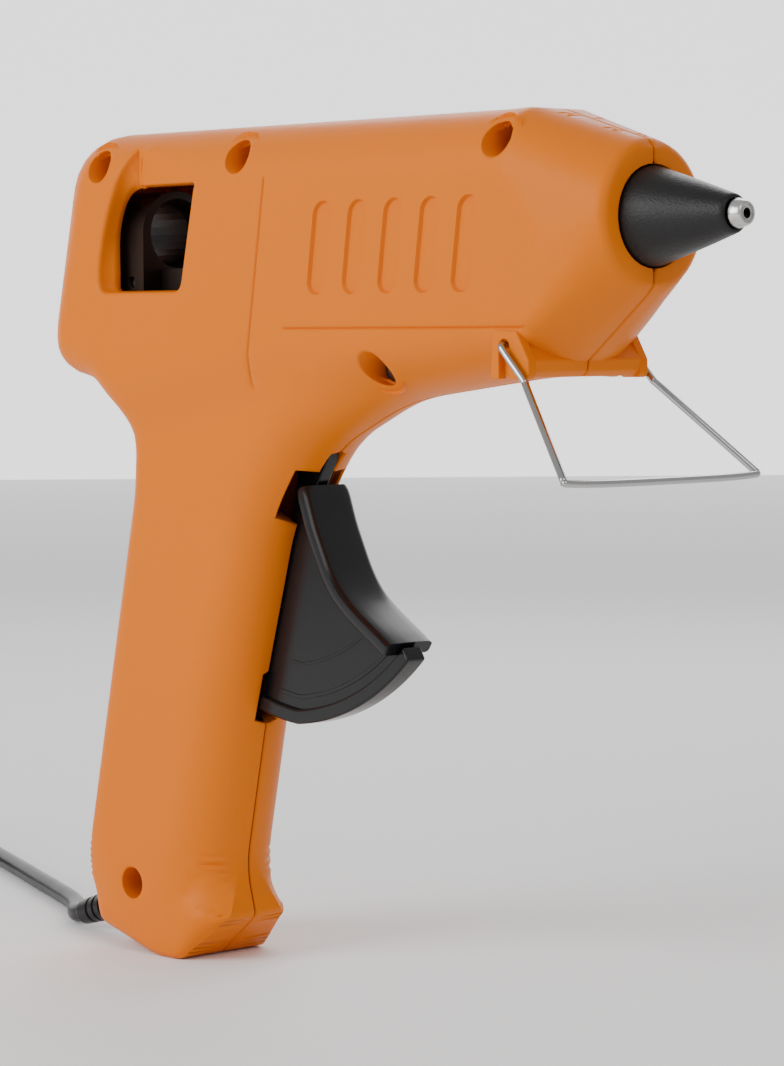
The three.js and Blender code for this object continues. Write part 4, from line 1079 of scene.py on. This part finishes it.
def coil_points():
    """Almost four turns inwards on the floor, a climb, and three and a half outwards on top."""
    points = []
    for degrees in range(96, 2701, COIL_STEP):
        if degrees <= 1440:
            turn, part = divmod(degrees - 90, 360)
            step = smooth_step((part - 270) / 90) if turn < 3 else 0
            radius = COIL_INNER + COIL_PITCH * (3 - turn - step)
            rise = smooth_step((degrees - 1350) / 90)
        else:
            turn, part = divmod(degrees - 1440, 360)
            radius = COIL_INNER + COIL_PITCH * (turn + smooth_step((part - 270) / 90))
            rise = 1
        angle = math.radians(degrees)
        z = COIL_LAYERS[0] + (COIL_LAYERS[1] - COIL_LAYERS[0]) * float(rise)
        points.append((COIL_CENTRE[0] + float(radius) * math.cos(angle),
                       COIL_CENTRE[1] + float(radius) * math.sin(angle), z))
    return points


def make_cord():
    path = [at(*p) for p in ROUTE + coil_points()]
    x = COIL_CENTRE[0] - COIL_INNER - 3 * COIL_PITCH
    path += [at(x - 0.03, 18.5, COIL_LAYERS[1]), at(x - 0.05, 12, COIL_LAYERS[1]),
             at(x - 0.05, 4.4, COIL_LAYERS[1])]
    data = bpy.data.curves.new("cord", "CURVE")
    data.dimensions = "3D"
    data.bevel_depth = CORD_RADIUS * MM
    data.bevel_resolution = 5
    data.resolution_u = 5
    data.use_fill_caps = True
    spline = data.splines.new("BEZIER")
    spline.bezier_points.add(len(path) - 1)
    for knot, place in zip(spline.bezier_points, path):
        knot.co = place
        knot.handle_left_type = knot.handle_right_type = "AUTO"
    data.materials.append(LOOKS["cord_black"])
    cord = bpy.data.objects.new("cord", data)
    bpy.context.collection.objects.link(cord)
    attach(cord, "housing")
    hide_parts("mains_cord", "cord_coil")
    make_boot()
    make_plug()


def make_boot():
    start, end = Vector((-82.6, 0, 9.8)), Vector((-105.6, 0, 3.2))
    length = (end - start).length
    bore = CORD_RADIUS + 0.03
    profile = [(0, bore), (0, 4.1), (0.2, 4.3), (1.1, 4.3), (1.3, 4.1), (1.35, 3.6), (1.6, 3.5)]
    for i in range(5):
        x = 9.2 + 2.5 * i
        radius = 3.5 + (2.85 - 3.5) * (x - 9) / (length - 9.6)
        profile += [(x, radius), (x + 0.15, radius - 0.35), (x + 0.75, radius - 0.37),
                    (x + 0.9, radius - 0.03)]
    profile += [(length - 0.6, 2.85), (length - 0.15, 2.75), (length, 2.5), (length, bore)]
    work = bmesh.new()
    add_turned(work, profile, start, end - start, 48)
    return finish_piece("boot", work, "cord_black", "housing", ["strain_relief"])


def make_plug():
    x = COIL_CENTRE[0] - 25 - 8.8 + CORD_RADIUS
    start = 5.2
    work = bmesh.new()
    rings = []
    for along, half_x, half_z, power in (
            (0, 2.7, 2.7, 2), (0.25, 3.1, 3.1, 2), (2.6, 3.25, 3.2, 2), (2.8, 2.9, 2.9, 2),
            (3.5, 2.9, 2.9, 2), (3.7, 3.6, 3.5, 2.1), (6.2, 3.9, 3.7, 2.2), (6.4, 3.5, 3.4, 2.2),
            (7.1, 3.5, 3.4, 2.2),
            (7.3, 4.4, 4.1, 2.3), (12, 6.4, 5.2, 2.6), (16, 8.0, 5.5, 3), (21, 9.7, 5.8, 3.4),
            (27, 11.4, 6.1, 4), (31.5, 12.6, 6.3, 4.5), (33.2, 12.9, 6.3, 4.5),
            (33.8, 12.7, 6.1, 4.5), (34, 12.3, 5.7, 4.5)):
        ring = []
        for t in np.linspace(0, 2 * math.pi, 48, endpoint=False):
            c, v = math.cos(t), math.sin(t)
            ring.append((x + half_x * math.copysign(abs(c) ** (2 / power), c), start - along,
                         6.6 + half_z * math.copysign(abs(v) ** (2 / power), v)))
        rings.append(ring)
    add_loft(work, rings)
    return finish_piece("plug", work, "cord_black", "housing", ["plug_body"])


make_cord()
